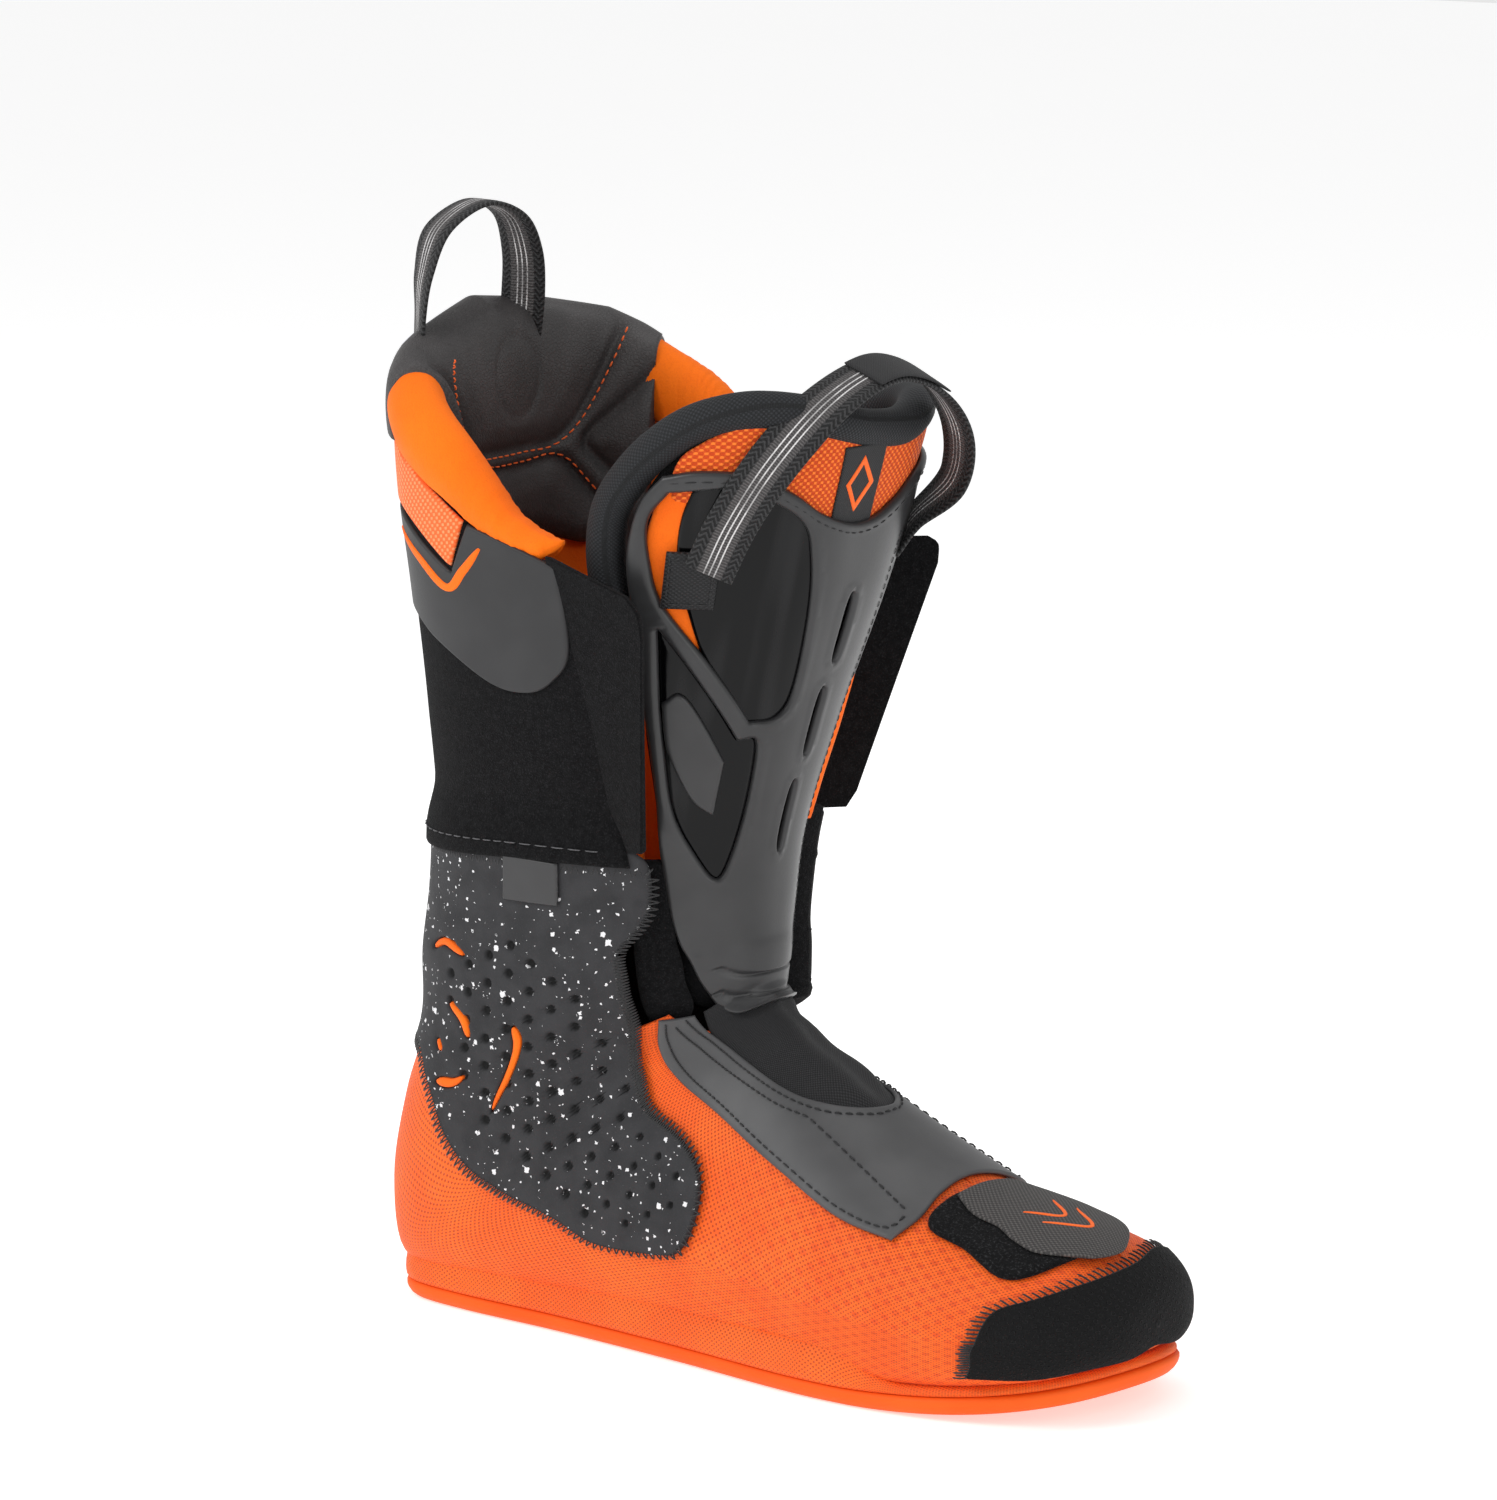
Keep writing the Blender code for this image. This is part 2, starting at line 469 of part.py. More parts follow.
def ribbon_frames(points, widths, per_span=3):
    """Centres, width directions and face normals along a webbing path."""
    centres = smooth_path(points, per_span)
    across = smooth_path(widths, per_span)
    ahead = np.gradient(centres, axis=0)
    ahead /= np.linalg.norm(ahead, axis=1, keepdims=True)
    across -= ahead * (across * ahead).sum(1)[:, None]
    across /= np.linalg.norm(across, axis=1, keepdims=True)
    return centres, across, np.cross(across, ahead)


def ribbon(name, frames, webbing, lift, material):
    """A webbing strip of even width and thickness, lifted off its path."""
    width, thickness = webbing
    rings = []
    for centre, across, face in zip(*frames):
        middle = centre + face * lift
        side, half = across * width / 2, face * thickness / 2
        rings.append(np.array([middle - side - half, middle + side - half, middle + side + half,
                               middle - side + half]))
    return swept(name, rings, material)


def sole_spring(x):
    """Height of the sole's bottom at x mm from the origin."""
    ahead = np.maximum(x - TOE_SPRING_START, 0.0) / TOE_SPRING_LENGTH
    return TOE_SPRING * ahead ** 2


def make_outsole(material):
    """Moulded sole: flat under heel and arch, lifted at the toe, with a lip round the upper."""
    loop = rounded_loop([np.array(p, float) for p in SOLE], [False] * len(SOLE), 9.0)
    ahead = np.roll(loop, -1, axis=0) - np.roll(loop, 1, axis=0)
    ahead /= np.linalg.norm(ahead, axis=1, keepdims=True)
    inwards = np.stack([ahead[:, 1], -ahead[:, 0]], axis=1)
    middle = loop.mean(0)
    if ((middle - loop) * inwards).sum() < 0:
        inwards = -inwards
    profile = [(4.0, 0.0), (1.2, 1.2), (0.0, 4.0), (0.0, 8.5), (0.7, SOLE_LIP),
               (LIP_WIDTH, SOLE_LIP - 0.6), (LIP_WIDTH + 1.5, SOLE_TOP)]
    rings = []
    for inset, height in profile:
        flat = loop + inwards * inset
        rings.append(np.stack([flat[:, 0], flat[:, 1], height + sole_spring(flat[:, 0] - HEEL_TO_ORIGIN)], 1))
    around = len(loop)
    points = np.concatenate(rings)
    faces = []
    for i in range(len(rings) - 1):
        for k in range(around):
            a, b = i * around + k, i * around + (k + 1) % around
            faces.append((a, b, b + around))
            faces.append((a, b + around, a + around))
    for ring, inset, height in ((0, profile[0][0], 0.0), (len(rings) - 1, profile[-1][0], SOLE_TOP)):
        flat, triangles, _ = fill([loop + inwards * inset], 22.0)
        extra = flat[around:]
        start = len(points)
        lifted = np.stack([extra[:, 0], extra[:, 1], height + sole_spring(extra[:, 0] - HEEL_TO_ORIGIN)], 1)
        points = np.concatenate([points, lifted])
        for triangle in triangles:
            indices = [ring * around + i if i < around else start + i - around for i in triangle]
            faces.append(tuple(indices if ring else reversed(indices)))
    return add_object("outsole", points, faces, material)


def make_collar(name, side, material):
    """Padded roll on the cuff's top edge, outer side 1, inner side -1."""
    angles = np.linspace(*COLLAR_SPANS[side], 7)
    path = [(np.interp(a, *RIMS[side]) - COLLAR_BELOW_RIM, side * a) for a in angles]
    roll(name, path, body_surface, COLLAR_DEPTH, COLLAR_RADIUS, material)


def make_spoiler(material):
    """Padded cap over the rear of the rim, with a short skirt outside and a pad inside."""
    rings = []
    for angle in np.linspace(*SPOILER_SPAN, 15):
        top = np.interp(min(angle, 360 - angle), *RIMS[1 if angle <= 180 else -1])
        ring = [at_depth(np.array([top + up]), np.array([angle]), out)[0] if out > -3.0
                else ring_points(np.array([top + up]), np.array([angle]), False, -out)[0]
                for up, out in SPOILER_SECTION]
        rings.append(np.array(ring))
    count, around = len(rings), len(SPOILER_SECTION)
    points = np.concatenate(rings)
    faces = []
    for i in range(count - 1):
        for k in range(around):
            a, b = i * around + k, i * around + (k + 1) % around
            faces.append((a, b, b + around))
            faces.append((a, b + around, a + around))
    section = np.array(SPOILER_SECTION, float)
    edges = [(k, (k + 1) % around) for k in range(around)]
    cap = delaunay_2d_cdt([Vector(p) for p in section], edges, [], 0, 1e-6)[2]
    middles = section[np.array(cap)].mean(1)
    cap = [t for t, keep in zip(cap, inside(section, middles)) if keep]
    same_way = (signed_area(section) > 0) == (signed_area(section[list(cap[0])]) > 0)
    for triangle in cap:
        facing = tuple(triangle) if same_way else tuple(reversed(triangle))
        faces.append(tuple(reversed(facing)))
        faces.append(tuple(i + (count - 1) * around for i in facing))
    return add_object("spoiler_pad", points, faces, material)


def make_flap(name, corners, material):
    """Stiff pile-faced flap beside the tongue."""
    def chart(outline):
        points = [np.array([row[0] * FLAP_CHART[0], row[1] * FLAP_CHART[1]]) for row in outline]
        return points, [len(row) > 2 for row in outline]
    half = FLAP_THICKNESS / 2
    panel(name, FLAP_OUTLINE, (-half, half), material, flap_surface(corners), chart)


def slot_outline(start, end):
    """Long narrow slot between two points on the tongue, with square ends."""
    (u0, v0), (u1, v1) = start, end
    return [(u0, v0 - SLOT_HALF_WIDTH, 1), (u0, v0 + SLOT_HALF_WIDTH, 1),
            (u1, v1 + SLOT_HALF_WIDTH, 1), (u1, v1 - SLOT_HALF_WIDTH, 1)]


def shrunk(outline, share=0.9):
    """The same outline drawn in towards its middle."""
    middle = np.mean([row[:2] for row in outline], axis=0)
    return [(middle[0] + (row[0] - middle[0]) * share, middle[1] + (row[1] - middle[1]) * share, *row[2:])
            for row in outline]


def make_tongue():
    """Everything that tilts with the tongue, except its pull loop."""
    windows = [WINDOW_UPPER, mirrored(WINDOW_UPPER), WINDOW_LOWER, mirrored(WINDOW_LOWER)]
    slots = [slot_outline(*ends) for ends in SLOTS]
    on_tongue = {"surface": tongue_surface}
    panel("tongue_foam", TONGUE_FOAM, TONGUE_FOAM_LAYER, make_material("tongue_foam"),
          step=TONGUE_STEP, **on_tongue)
    panel("tongue_mesh", TONGUE_MESH, TONGUE_MESH_LAYER, make_material("tongue_mesh"),
          step=TONGUE_STEP, **on_tongue)
    panel("tongue_shell", TONGUE_SHELL, TONGUE_SHELL_LAYER, make_material("tongue_shell"),
          holes=windows + slots, step=TONGUE_STEP, **on_tongue)
    names = ["upper_lateral", "upper_medial", "lower_lateral", "lower_medial"]
    for name, outline in zip(names, windows):
        name = "tongue_window_" + name
        panel(name, shrunk(outline), WINDOW_LAYER, make_material(name), step=TONGUE_STEP, **on_tongue)
    panel("tongue_tag", TONGUE_TAG, (0.5, 1.2), make_material("tongue_tag"), **on_tongue)
    panel("tongue_wing_lateral", TONGUE_WING, (-6.0, -3.4), make_material("tongue_wing_lateral"), **on_tongue)
    panel("tongue_wing_medial", mirrored(TONGUE_WING), (-6.0, -3.4), make_material("tongue_wing_medial"),
          **on_tongue)
    panel("strap_patch", STRAP_PATCH, (2.9, 4.3), make_material("strap_patch"), **on_tongue)
    roll("tongue_binding", BINDING_PATH, tongue_surface, BINDING_DEPTH, BINDING_RADIUS,
         make_material("tongue_binding"))


COLOURS = {
    "orange": (0.95, 0.24, 0.02, 1.0),
    "black": (0.018, 0.018, 0.02, 1.0),
    "charcoal": (0.05, 0.052, 0.056, 1.0),
    "grey": (0.09, 0.09, 0.095, 1.0),
}
NODE_COLOURS = {
    "outsole": "orange", "knit_upper_lateral": "orange", "knit_upper_medial": "orange",
    "collar_lateral": "orange", "collar_medial": "orange", "cuff_mesh_lateral": "orange",
    "cuff_mesh_medial": "orange", "tongue_mesh": "orange", "tongue_wing_lateral": "orange",
    "tongue_wing_medial": "orange", "instep_overlay": "grey", "cuff_film_lateral": "charcoal",
    "cuff_film_medial": "charcoal", "ankle_panel_lateral": "charcoal", "ankle_panel_medial": "charcoal",
    "spoiler_pad": "charcoal", "calf_pad": "charcoal", "footbed": "charcoal", "tongue_shell": "charcoal",
    "toe_tab": "charcoal", "tongue_tag": "charcoal", "size_label": "charcoal", "rear_pull_loop": "grey",
    "tongue_pull_loop": "grey",
}


def make_material(name):
    """One plain material for one sub-part."""
    material = bpy.data.materials.new(name)
    material.use_nodes = True
    shader = material.node_tree.nodes["Principled BSDF"]
    shader.inputs["Base Color"].default_value = COLOURS[NODE_COLOURS.get(name, "black")]
    shader.inputs["Roughness"].default_value = 0.7
    return material


def make_pair(name, outline, layer, inner_outline=None, **options):
    """A panel on each side, each with its own material. The inner one mirrors the outer unless given."""
    panel(name + "_lateral", outline, layer, make_material(name + "_lateral"), **options)
    inner_outline = mirrored(inner_outline or outline)
    panel(name + "_medial", inner_outline, layer, make_material(name + "_medial"), **options)


def clear_scene():
    for item in list(bpy.data.objects):
        bpy.data.objects.remove(item, do_unlink=True)


def main():
    clear_scene()
    make_outsole(make_material("outsole"))
    panel("footbed", FOOTBED_OUTLINE, FOOTBED, make_material("footbed"))
    for slice_name, outline in FOOT_FOAM.items():
        make_pair("foot_foam_" + slice_name, outline, FOAM, step=FOAM_STEP)
    make_pair("cuff_foam", CUFF_FOAM_FRONT + CUFF_TOP + CUFF_FOAM_REAR, FOAM,
              CUFF_FOAM_FRONT + CUFF_TOP_INNER + CUFF_FOAM_REAR)
    make_pair("knit_upper", KNIT, UPPER)
    make_pair("ankle_panel", ANKLE_PANEL, PANEL)
    make_pair("cuff_wrap", CUFF_WRAP_LOW + CUFF_TOP, UPPER, CUFF_WRAP_LOW + CUFF_TOP_INNER)
    make_pair("cuff_film", CUFF_FILM, PANEL, step=9.0)
    make_pair("cuff_mesh", CUFF_MESH, PANEL, CUFF_MESH_INNER, step=8.5)
    make_pair("throat_gusset", THROAT_GUSSET, (-5.5, -4.0))
    make_collar("collar_lateral", 1, make_material("collar_lateral"))
    make_collar("collar_medial", -1, make_material("collar_medial"))
    make_spoiler(make_material("spoiler_pad"))
    panel("calf_pad", CALF_PAD_OUTLINE, CALF_PAD, make_material("calf_pad"))
    panel("toe_cap", TOE_CAP, PANEL, make_material("toe_cap"), surface=toe_surface, chart=polar_points)
    panel("toe_loop_patch", LOOP_PATCH, PANEL, make_material("toe_loop_patch"))
    panel("instep_overlay", OVERLAY, PANEL, make_material("instep_overlay"))
    panel("instep_gusset", GUSSET, PANEL, make_material("instep_gusset"))
    panel("toe_tab", TOE_TAB, OUTER, make_material("toe_tab"))
    panel("size_label", SIZE_LABEL, OUTER, make_material("size_label"))
    make_flap("lateral_flap", LATERAL_FLAP, make_material("lateral_flap"))
    make_flap("medial_flap", MEDIAL_FLAP, make_material("medial_flap"))
    make_tongue()
    ribbon("rear_pull_loop", ribbon_frames(REAR_LOOP, REAR_LOOP_WIDTHS), REAR_WEBBING, 0.0,
           make_material("rear_pull_loop"))
    frames = ribbon_frames(TONGUE_LOOP, TONGUE_LOOP_WIDTHS)
    ribbon("tongue_pull_loop", frames, TONGUE_WEBBING, 0.0, make_material("tongue_pull_loop"))
    start, end = STRAP_LABEL_SPAN
    label = [part[3 * start:3 * end + 1] for part in frames]
    ribbon("strap_label", label, (17.0, 0.9), 1.8, make_material("strap_label"))


main()
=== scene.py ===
"""Looks of an alpine ski boot liner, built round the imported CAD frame.

Shapes are given in millimetres, with x measured from the rear of the heel. Panels are outlines on the body
surface, as (u, v): u runs back from the toe tip over the instep and up the leg, and v turns round the leg in
degrees, 0 at the front or top, +180 at the rear or under the sole by the outer side, negative on the inner.
"""
import json
import math

import bpy
import numpy as np
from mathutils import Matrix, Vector
from mathutils.geometry import delaunay_2d_cdt

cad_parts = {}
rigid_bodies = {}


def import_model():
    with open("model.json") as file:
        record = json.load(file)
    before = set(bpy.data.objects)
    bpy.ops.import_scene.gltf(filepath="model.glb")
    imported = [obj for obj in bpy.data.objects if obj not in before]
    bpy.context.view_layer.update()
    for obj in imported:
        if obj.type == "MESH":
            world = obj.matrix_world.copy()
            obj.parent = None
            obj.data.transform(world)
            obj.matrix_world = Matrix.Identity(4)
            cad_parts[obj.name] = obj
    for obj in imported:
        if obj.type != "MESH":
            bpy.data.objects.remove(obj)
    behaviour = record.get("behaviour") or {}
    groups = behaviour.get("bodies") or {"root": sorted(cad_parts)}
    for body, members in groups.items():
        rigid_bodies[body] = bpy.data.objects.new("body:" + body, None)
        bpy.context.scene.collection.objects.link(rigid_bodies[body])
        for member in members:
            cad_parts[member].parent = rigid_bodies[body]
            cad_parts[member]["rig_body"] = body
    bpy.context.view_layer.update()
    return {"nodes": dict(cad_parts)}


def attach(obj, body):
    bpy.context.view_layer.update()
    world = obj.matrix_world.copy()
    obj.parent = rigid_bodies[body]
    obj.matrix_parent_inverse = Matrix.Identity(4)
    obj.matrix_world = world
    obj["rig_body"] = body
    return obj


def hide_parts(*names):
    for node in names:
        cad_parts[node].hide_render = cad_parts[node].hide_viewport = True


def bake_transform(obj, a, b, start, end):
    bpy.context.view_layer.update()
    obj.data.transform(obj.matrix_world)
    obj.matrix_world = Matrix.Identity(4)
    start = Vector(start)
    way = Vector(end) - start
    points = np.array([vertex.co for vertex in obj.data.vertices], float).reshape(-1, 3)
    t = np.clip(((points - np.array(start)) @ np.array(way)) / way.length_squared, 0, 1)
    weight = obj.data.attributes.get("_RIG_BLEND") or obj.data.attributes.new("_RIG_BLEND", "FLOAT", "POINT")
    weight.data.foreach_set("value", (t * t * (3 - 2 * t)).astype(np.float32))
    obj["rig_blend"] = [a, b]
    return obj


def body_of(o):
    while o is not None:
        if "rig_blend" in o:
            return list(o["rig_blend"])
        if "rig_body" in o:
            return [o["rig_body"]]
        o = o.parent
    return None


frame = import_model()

MM = 0.001
HEEL_TO_ORIGIN = 143.0          # mm from the rear of the heel to the frame's origin
MM_PER_DEGREE = 0.75            # chart millimetres per degree of v
MESH_STEP = 2.2                 # mm between points inside a panel
FINE_STEP = 1.6                 # the same on small or sharply curved panels
TOE_FOAM_SHARE = 0.4            # thickness of the foam left at the toe tip
SOLE_TOP = 6.3                  # height of the sole's upper face
TOE_SPRING_START, TOE_SPRING, TOE_SPRING_LENGTH = 57.0, 9.5, 83.0
TAPE_STEP = 2.48                # mm of chart between points of the sole's outline
SIDES = (("lateral", 1), ("medial", -1))

# u, front x, front z, rear x, rear z, widest point (share from the rear), half-width outer side,
# half-width inner side, roundness of the front half, roundness of the rear half (2 is an ellipse).
STATIONS = np.array([
    [0, 283, 30, 283, 27, 0.40, 0.6, 0.6, 2.0, 2.0],
    [19, 281, 39, 281, 20, 0.40, 18.0, 20.0, 2.1, 2.6],
    [31, 276, 45, 276, 17.5, 0.40, 29.0, 31.0, 2.1, 3.2],
    [44, 266, 51, 266, 14, 0.38, 38.0, 39.5, 2.1, 4.5],
    [62, 249, 55, 249, 11, 0.36, 44.5, 44.5, 2.1, 6.0],
    [90, 222, 61, 222, 8, 0.34, 48.5, 47.0, 2.1, 7.0],
    [120, 194, 75, 192, 7.2, 0.32, 47.5, 45.5, 2.0, 7.0],
    [148, 167, 91, 158, 7, 0.30, 43.5, 42.5, 1.9, 5.5],
    [170, 154, 99, 122, 7, 0.31, 40.0, 39.5, 1.9, 4.2],
    [192, 146, 105, 84, 7, 0.34, 38.5, 38.0, 1.9, 3.6],
    [216, 141, 110, 44, 7, 0.38, 38.0, 37.5, 2.0, 3.5],
    [234, 139, 113, 17, 7.5, 0.42, 38.0, 38.0, 2.1, 3.4],
    [248, 138, 117, 4, 13, 0.44, 38.5, 38.5, 2.1, 3.2],
    [264, 138, 120, 0, 36, 0.44, 39.5, 39.5, 2.2, 2.9],
    [284, 138, 124, 6, 66, 0.44, 42.0, 42.0, 2.2, 2.7],
    [306, 138, 129, 14, 94, 0.43, 43.0, 43.0, 2.2, 2.3],
    [326, 138, 134, 16, 118, 0.42, 43.5, 43.5, 2.2, 2.4],
    [342, 139, 142, 19, 138, 0.42, 43.5, 43.5, 2.2, 2.4],
    [360, 141, 160, 21, 160, 0.42, 45.0, 45.0, 2.2, 2.4],
    [400, 151, 200, 21, 200, 0.42, 51.0, 51.0, 2.2, 2.5],
    [440, 162, 240, 19.5, 240, 0.42, 56.5, 56.5, 2.2, 2.7],
    [470, 167, 270, 18, 270, 0.42, 60.0, 60.0, 2.2, 2.9],
    [500, 170, 300, 18, 300, 0.42, 62.0, 62.0, 2.2, 3.0],
    [530, 172, 330, 18, 330, 0.42, 62.0, 62.0, 2.2, 3.0],
    [560, 174, 360, 18, 360, 0.42, 62.0, 62.0, 2.2, 3.0],
])
# u, tongue width as a share of the body's on the outer and inner side, roundness of its inner side,
# how far it stands in front of the body.
TONGUE = np.array([
    [200, 0.76, 0.75, 2.2, 1],
    [320, 0.76, 0.77, 2.4, 1],
    [360, 0.80, 0.82, 2.5, 0],
    [400, 0.84, 0.90, 2.7, 0],
    [440, 0.86, 0.98, 3.0, 1],
    [470, 0.86, 1.02, 3.4, 3],
    [490, 0.86, 1.04, 3.6, 6],
    [530, 0.86, 1.04, 3.6, 8],
])
# Height u of the cuff's rim at angle v, on the outer and on the inner side.
RIMS = {
    1: ([76, 86, 91, 102, 112, 129, 150, 180], [459, 464, 469, 481, 491, 503, 514, 524]),
    -1: ([80, 84, 92, 100, 110, 120, 130, 150, 180], [476, 486, 496, 501, 506, 512, 517, 521, 524]),
}


# ---------------------------------------------------------------- surfaces

def table_rows(u, table):
    """Smoothly interpolate the columns of a table at u."""
    keys, rows = table[:, 0], table[:, 1:]
    steps = np.diff(keys)[:, None]
    slopes = np.diff(rows, axis=0) / steps
    tangents = np.vstack([slopes[:1], np.zeros_like(slopes[1:]), slopes[-1:]])
    tangents[1:-1] = (slopes[:-1] * steps[1:] + slopes[1:] * steps[:-1]) / (steps[:-1] + steps[1:])
    index = np.clip(np.searchsorted(keys, u) - 1, 0, len(keys) - 2)
    span = steps[index]
    t = ((u - keys[index]) / span[..., 0])[..., None]
    start = (2 * t ** 3 - 3 * t ** 2 + 1) * rows[index] + (t ** 3 - 2 * t ** 2 + t) * span * tangents[index]
    end = (3 * t ** 2 - 2 * t ** 3) * rows[index + 1] + (t ** 3 - t ** 2) * span * tangents[index + 1]
    return start + end


def ring_points(u, v, on_tongue=False, inset=0.0):
    """Points of the body or tongue surface in mm, with each ring shrunk by inset."""
    row = table_rows(u, STATIONS)
    front = row[..., 0:2]
    if on_tongue:
        front = front + table_rows(u, TONGUE)[..., 3:4] * np.array([1.0, 0.0])
    rear = row[..., 2:4]
    along = front - rear
    length = np.linalg.norm(along, axis=-1)
    along = along / length[..., None]
    widest = row[..., 4] * length
    cosine, sine = np.cos(np.radians(v)), np.sin(np.radians(v))
    reach = np.where(cosine >= 0, length - widest, widest) - inset
    side = np.where(sine >= 0, row[..., 5], row[..., 6])
    power = np.where(cosine >= 0, row[..., 7], row[..., 8])
    if on_tongue:
        shape = table_rows(u, TONGUE)
        side = side * np.where(sine >= 0, shape[..., 0], shape[..., 1])
        power = np.where(sine >= 0, power, shape[..., 2])
    reach, side = np.maximum(reach, 0.3), np.maximum(side - inset, 0.3)
    size = (np.abs(cosine) ** power + np.abs(sine) ** power) ** (-1.0 / power)
    centre = rear + along * widest[..., None]
    in_plane = centre + along * (reach * size * cosine)[..., None]
    return np.stack([in_plane[..., 0], -side * size * sine, in_plane[..., 1]], axis=-1)


def ring_normals(u, v, on_tongue=False):
    """Outward unit normals of the surface; straight ahead at the toe tip."""
    ahead_of_tip = np.maximum(u, 3.0)
    along_u = ring_points(ahead_of_tip + 0.5, v, on_tongue) - ring_points(ahead_of_tip - 0.5, v, on_tongue)
    along_v = ring_points(ahead_of_tip, v + 0.5, on_tongue) - ring_points(ahead_of_tip, v - 0.5, on_tongue)
    normal = unit(np.cross(along_u, along_v))
    share = np.clip(u / 6.0, 0.0, 1.0)[..., None]
    return unit(normal * share + np.array([1.0, 0.0, 0.0]) * (1 - share))


def smooth_step(x, low, high):
    """0 below low, 1 above high and a smooth rise between."""
    t = np.clip((np.asarray(x, float) - low) / (high - low), 0.0, 1.0)
    return t * t * (3 - 2 * t)


def at_depth(u, v, depth, on_tongue=False):
    """Points a given distance outwards from the surface. Deep ones shrink the rings, so nothing folds."""
    u, v = np.asarray(u, float), np.asarray(v, float)
    depth = np.broadcast_to(np.asarray(depth, float), u.shape)
    deep = smooth_step(-depth, 2.6, 4.0)
    thinned = TOE_FOAM_SHARE + (1 - TOE_FOAM_SHARE) * smooth_step(u, 10.0, 60.0)
    scaled = depth * (1 - deep + deep * thinned)
    along_normal = ring_points(u, v, on_tongue) + ring_normals(u, v, on_tongue) * scaled[..., None]
    shrunk = ring_points(u, v, on_tongue, -scaled)
    share = (smooth_step(u, 24.0, 50.0) * deep)[..., None]
    return along_normal * (1 - share) + shrunk * share


def unit(vectors):
    """The vectors at length 1."""
    return vectors / np.maximum(np.linalg.norm(vectors, axis=-1, keepdims=True), 1e-9)


def right_of(ahead):
    """Flat directions at right angles to the given ones."""
    return np.stack([ahead[:, 1], -ahead[:, 0]], axis=1)


def round_loop(loop):
    """Directions along a closed loop."""
    return unit(np.roll(loop, -1, axis=0) - np.roll(loop, 1, axis=0))


def inwards_of(loop):
    """Directions in from a closed loop."""
    inwards = right_of(round_loop(loop))
    return inwards if ((loop.mean(0) - loop) * inwards).sum() > 0 else -inwards


def on_side(line, sign):
    """A line of (u, v) points, turned over to the inner side if sign is -1."""
    return [(u, sign * v) for u, v in line]


class Chart:
    """A flat chart in millimetres of one of the surfaces."""

    def __init__(self, flatten, place):
        self.flatten = flatten
        self.place = place


def flat_body(outline):
    """(u, v) rows in the chart of the body or the tongue."""
    return np.array([[row[0], row[1] * MM_PER_DEGREE] for row in outline], float)


def flat_toe(outline):
    """(u, v) rows in a chart round the toe tip."""
    angles = np.radians([row[1] for row in outline])
    reach = np.array([row[0] for row in outline], float)
    return np.stack([reach * np.cos(angles), reach * np.sin(angles)], axis=1)


BODY = Chart(flat_body, lambda p, depth: at_depth(p[:, 0], p[:, 1] / MM_PER_DEGREE, depth))
FRONT = Chart(flat_body, lambda p, depth: at_depth(p[:, 0], p[:, 1] / MM_PER_DEGREE, depth, True))
TOE = Chart(flat_toe, lambda p, depth: at_depth(np.hypot(p[:, 0], p[:, 1]),
                                                np.degrees(np.arctan2(p[:, 1], p[:, 0])), depth))


# ---------------------------------------------------------------- outlines

def rounded_loop(flat, corners, step):
    """Closed loop through the points, curved at plain points and sharp at corners."""
    loop = []
    count = len(flat)
    for i in range(count):
        before, here, there, after = (flat[(i + k) % count] for k in (-1, 0, 1, 2))
        length = np.linalg.norm(there - here)
        start = (there - here) if corners[i] else (there - before) / 2
        end = (there - here) if corners[(i + 1) % count] else (after - here) / 2
        pieces = max(1, round(length / step))
        for k in range(pieces):
            t = k / pieces
            loop.append((2 * t ** 3 - 3 * t ** 2 + 1) * here + (t ** 3 - 2 * t ** 2 + t) * start
                        + (3 * t ** 2 - 2 * t ** 3) * there + (t ** 3 - t ** 2) * end)
    return np.array(loop)


def outline_loop(chart, outline, step):
    """An outline of (u, v) rows as a dense closed loop in its chart; a third value marks a sharp corner."""
    return rounded_loop(chart.flatten(outline), [len(row) > 2 for row in outline], step)


def smooth_path(points, per_span):
    """A smooth open path through the points."""
    points = [np.array(p, float) for p in points]
    padded = [2 * points[0] - points[1]] + points + [2 * points[-1] - points[-2]]
    path = []
    for i in range(1, len(padded) - 2):
        before, here, there, after = padded[i - 1:i + 3]
        for k in range(per_span):
            t = k / per_span
            path.append(0.5 * (2 * here + (there - before) * t
                               + (2 * before - 5 * here + 4 * there - after) * t ** 2
                               + (3 * here - before - 3 * there + after) * t ** 3))
    path.append(points[-1])
    return np.array(path)


def mirrored(outline):
    """The same outline on the inner side, listed the same way round."""
    return [(row[0], -row[1], *row[2:]) for row in reversed(outline)]


def shrunk_outline(outline, share):
    """The same outline drawn in towards its middle."""
    middle = np.mean([row[:2] for row in outline], axis=0)
    return [(middle[0] + (row[0] - middle[0]) * share, middle[1] + (row[1] - middle[1]) * share, *row[2:])
            for row in outline]


def inside(loop, points):
    """Which points lie inside a closed loop."""
    result = np.zeros(len(points), bool)
    ends = np.roll(loop, -1, axis=0)
    for (ax, ay), (bx, by) in zip(loop, ends):
        if ay == by:
            continue
        crosses = (points[:, 1] < ay) != (points[:, 1] < by)
        result ^= crosses & (points[:, 0] < ax + (points[:, 1] - ay) * (bx - ax) / (by - ay))
    return result


def distance_to(line, points, closed=True):
    """Distance from each point to the nearest stretch of a line of points."""
    starts = line if closed else line[:-1]
    spans = (np.roll(line, -1, axis=0) if closed else line[1:]) - starts
    lengths = np.maximum((spans ** 2).sum(1), 1e-9)
    nearest = np.full(len(points), np.inf)
    for block in range(0, len(points), 4000):
        some = points[block:block + 4000]
        share = np.clip(((some[:, None] - starts) * spans).sum(2) / lengths, 0, 1)
        gaps = np.linalg.norm(some[:, None] - (starts + spans * share[..., None]), axis=2)
        nearest[block:block + 4000] = gaps.min(1)
    return nearest


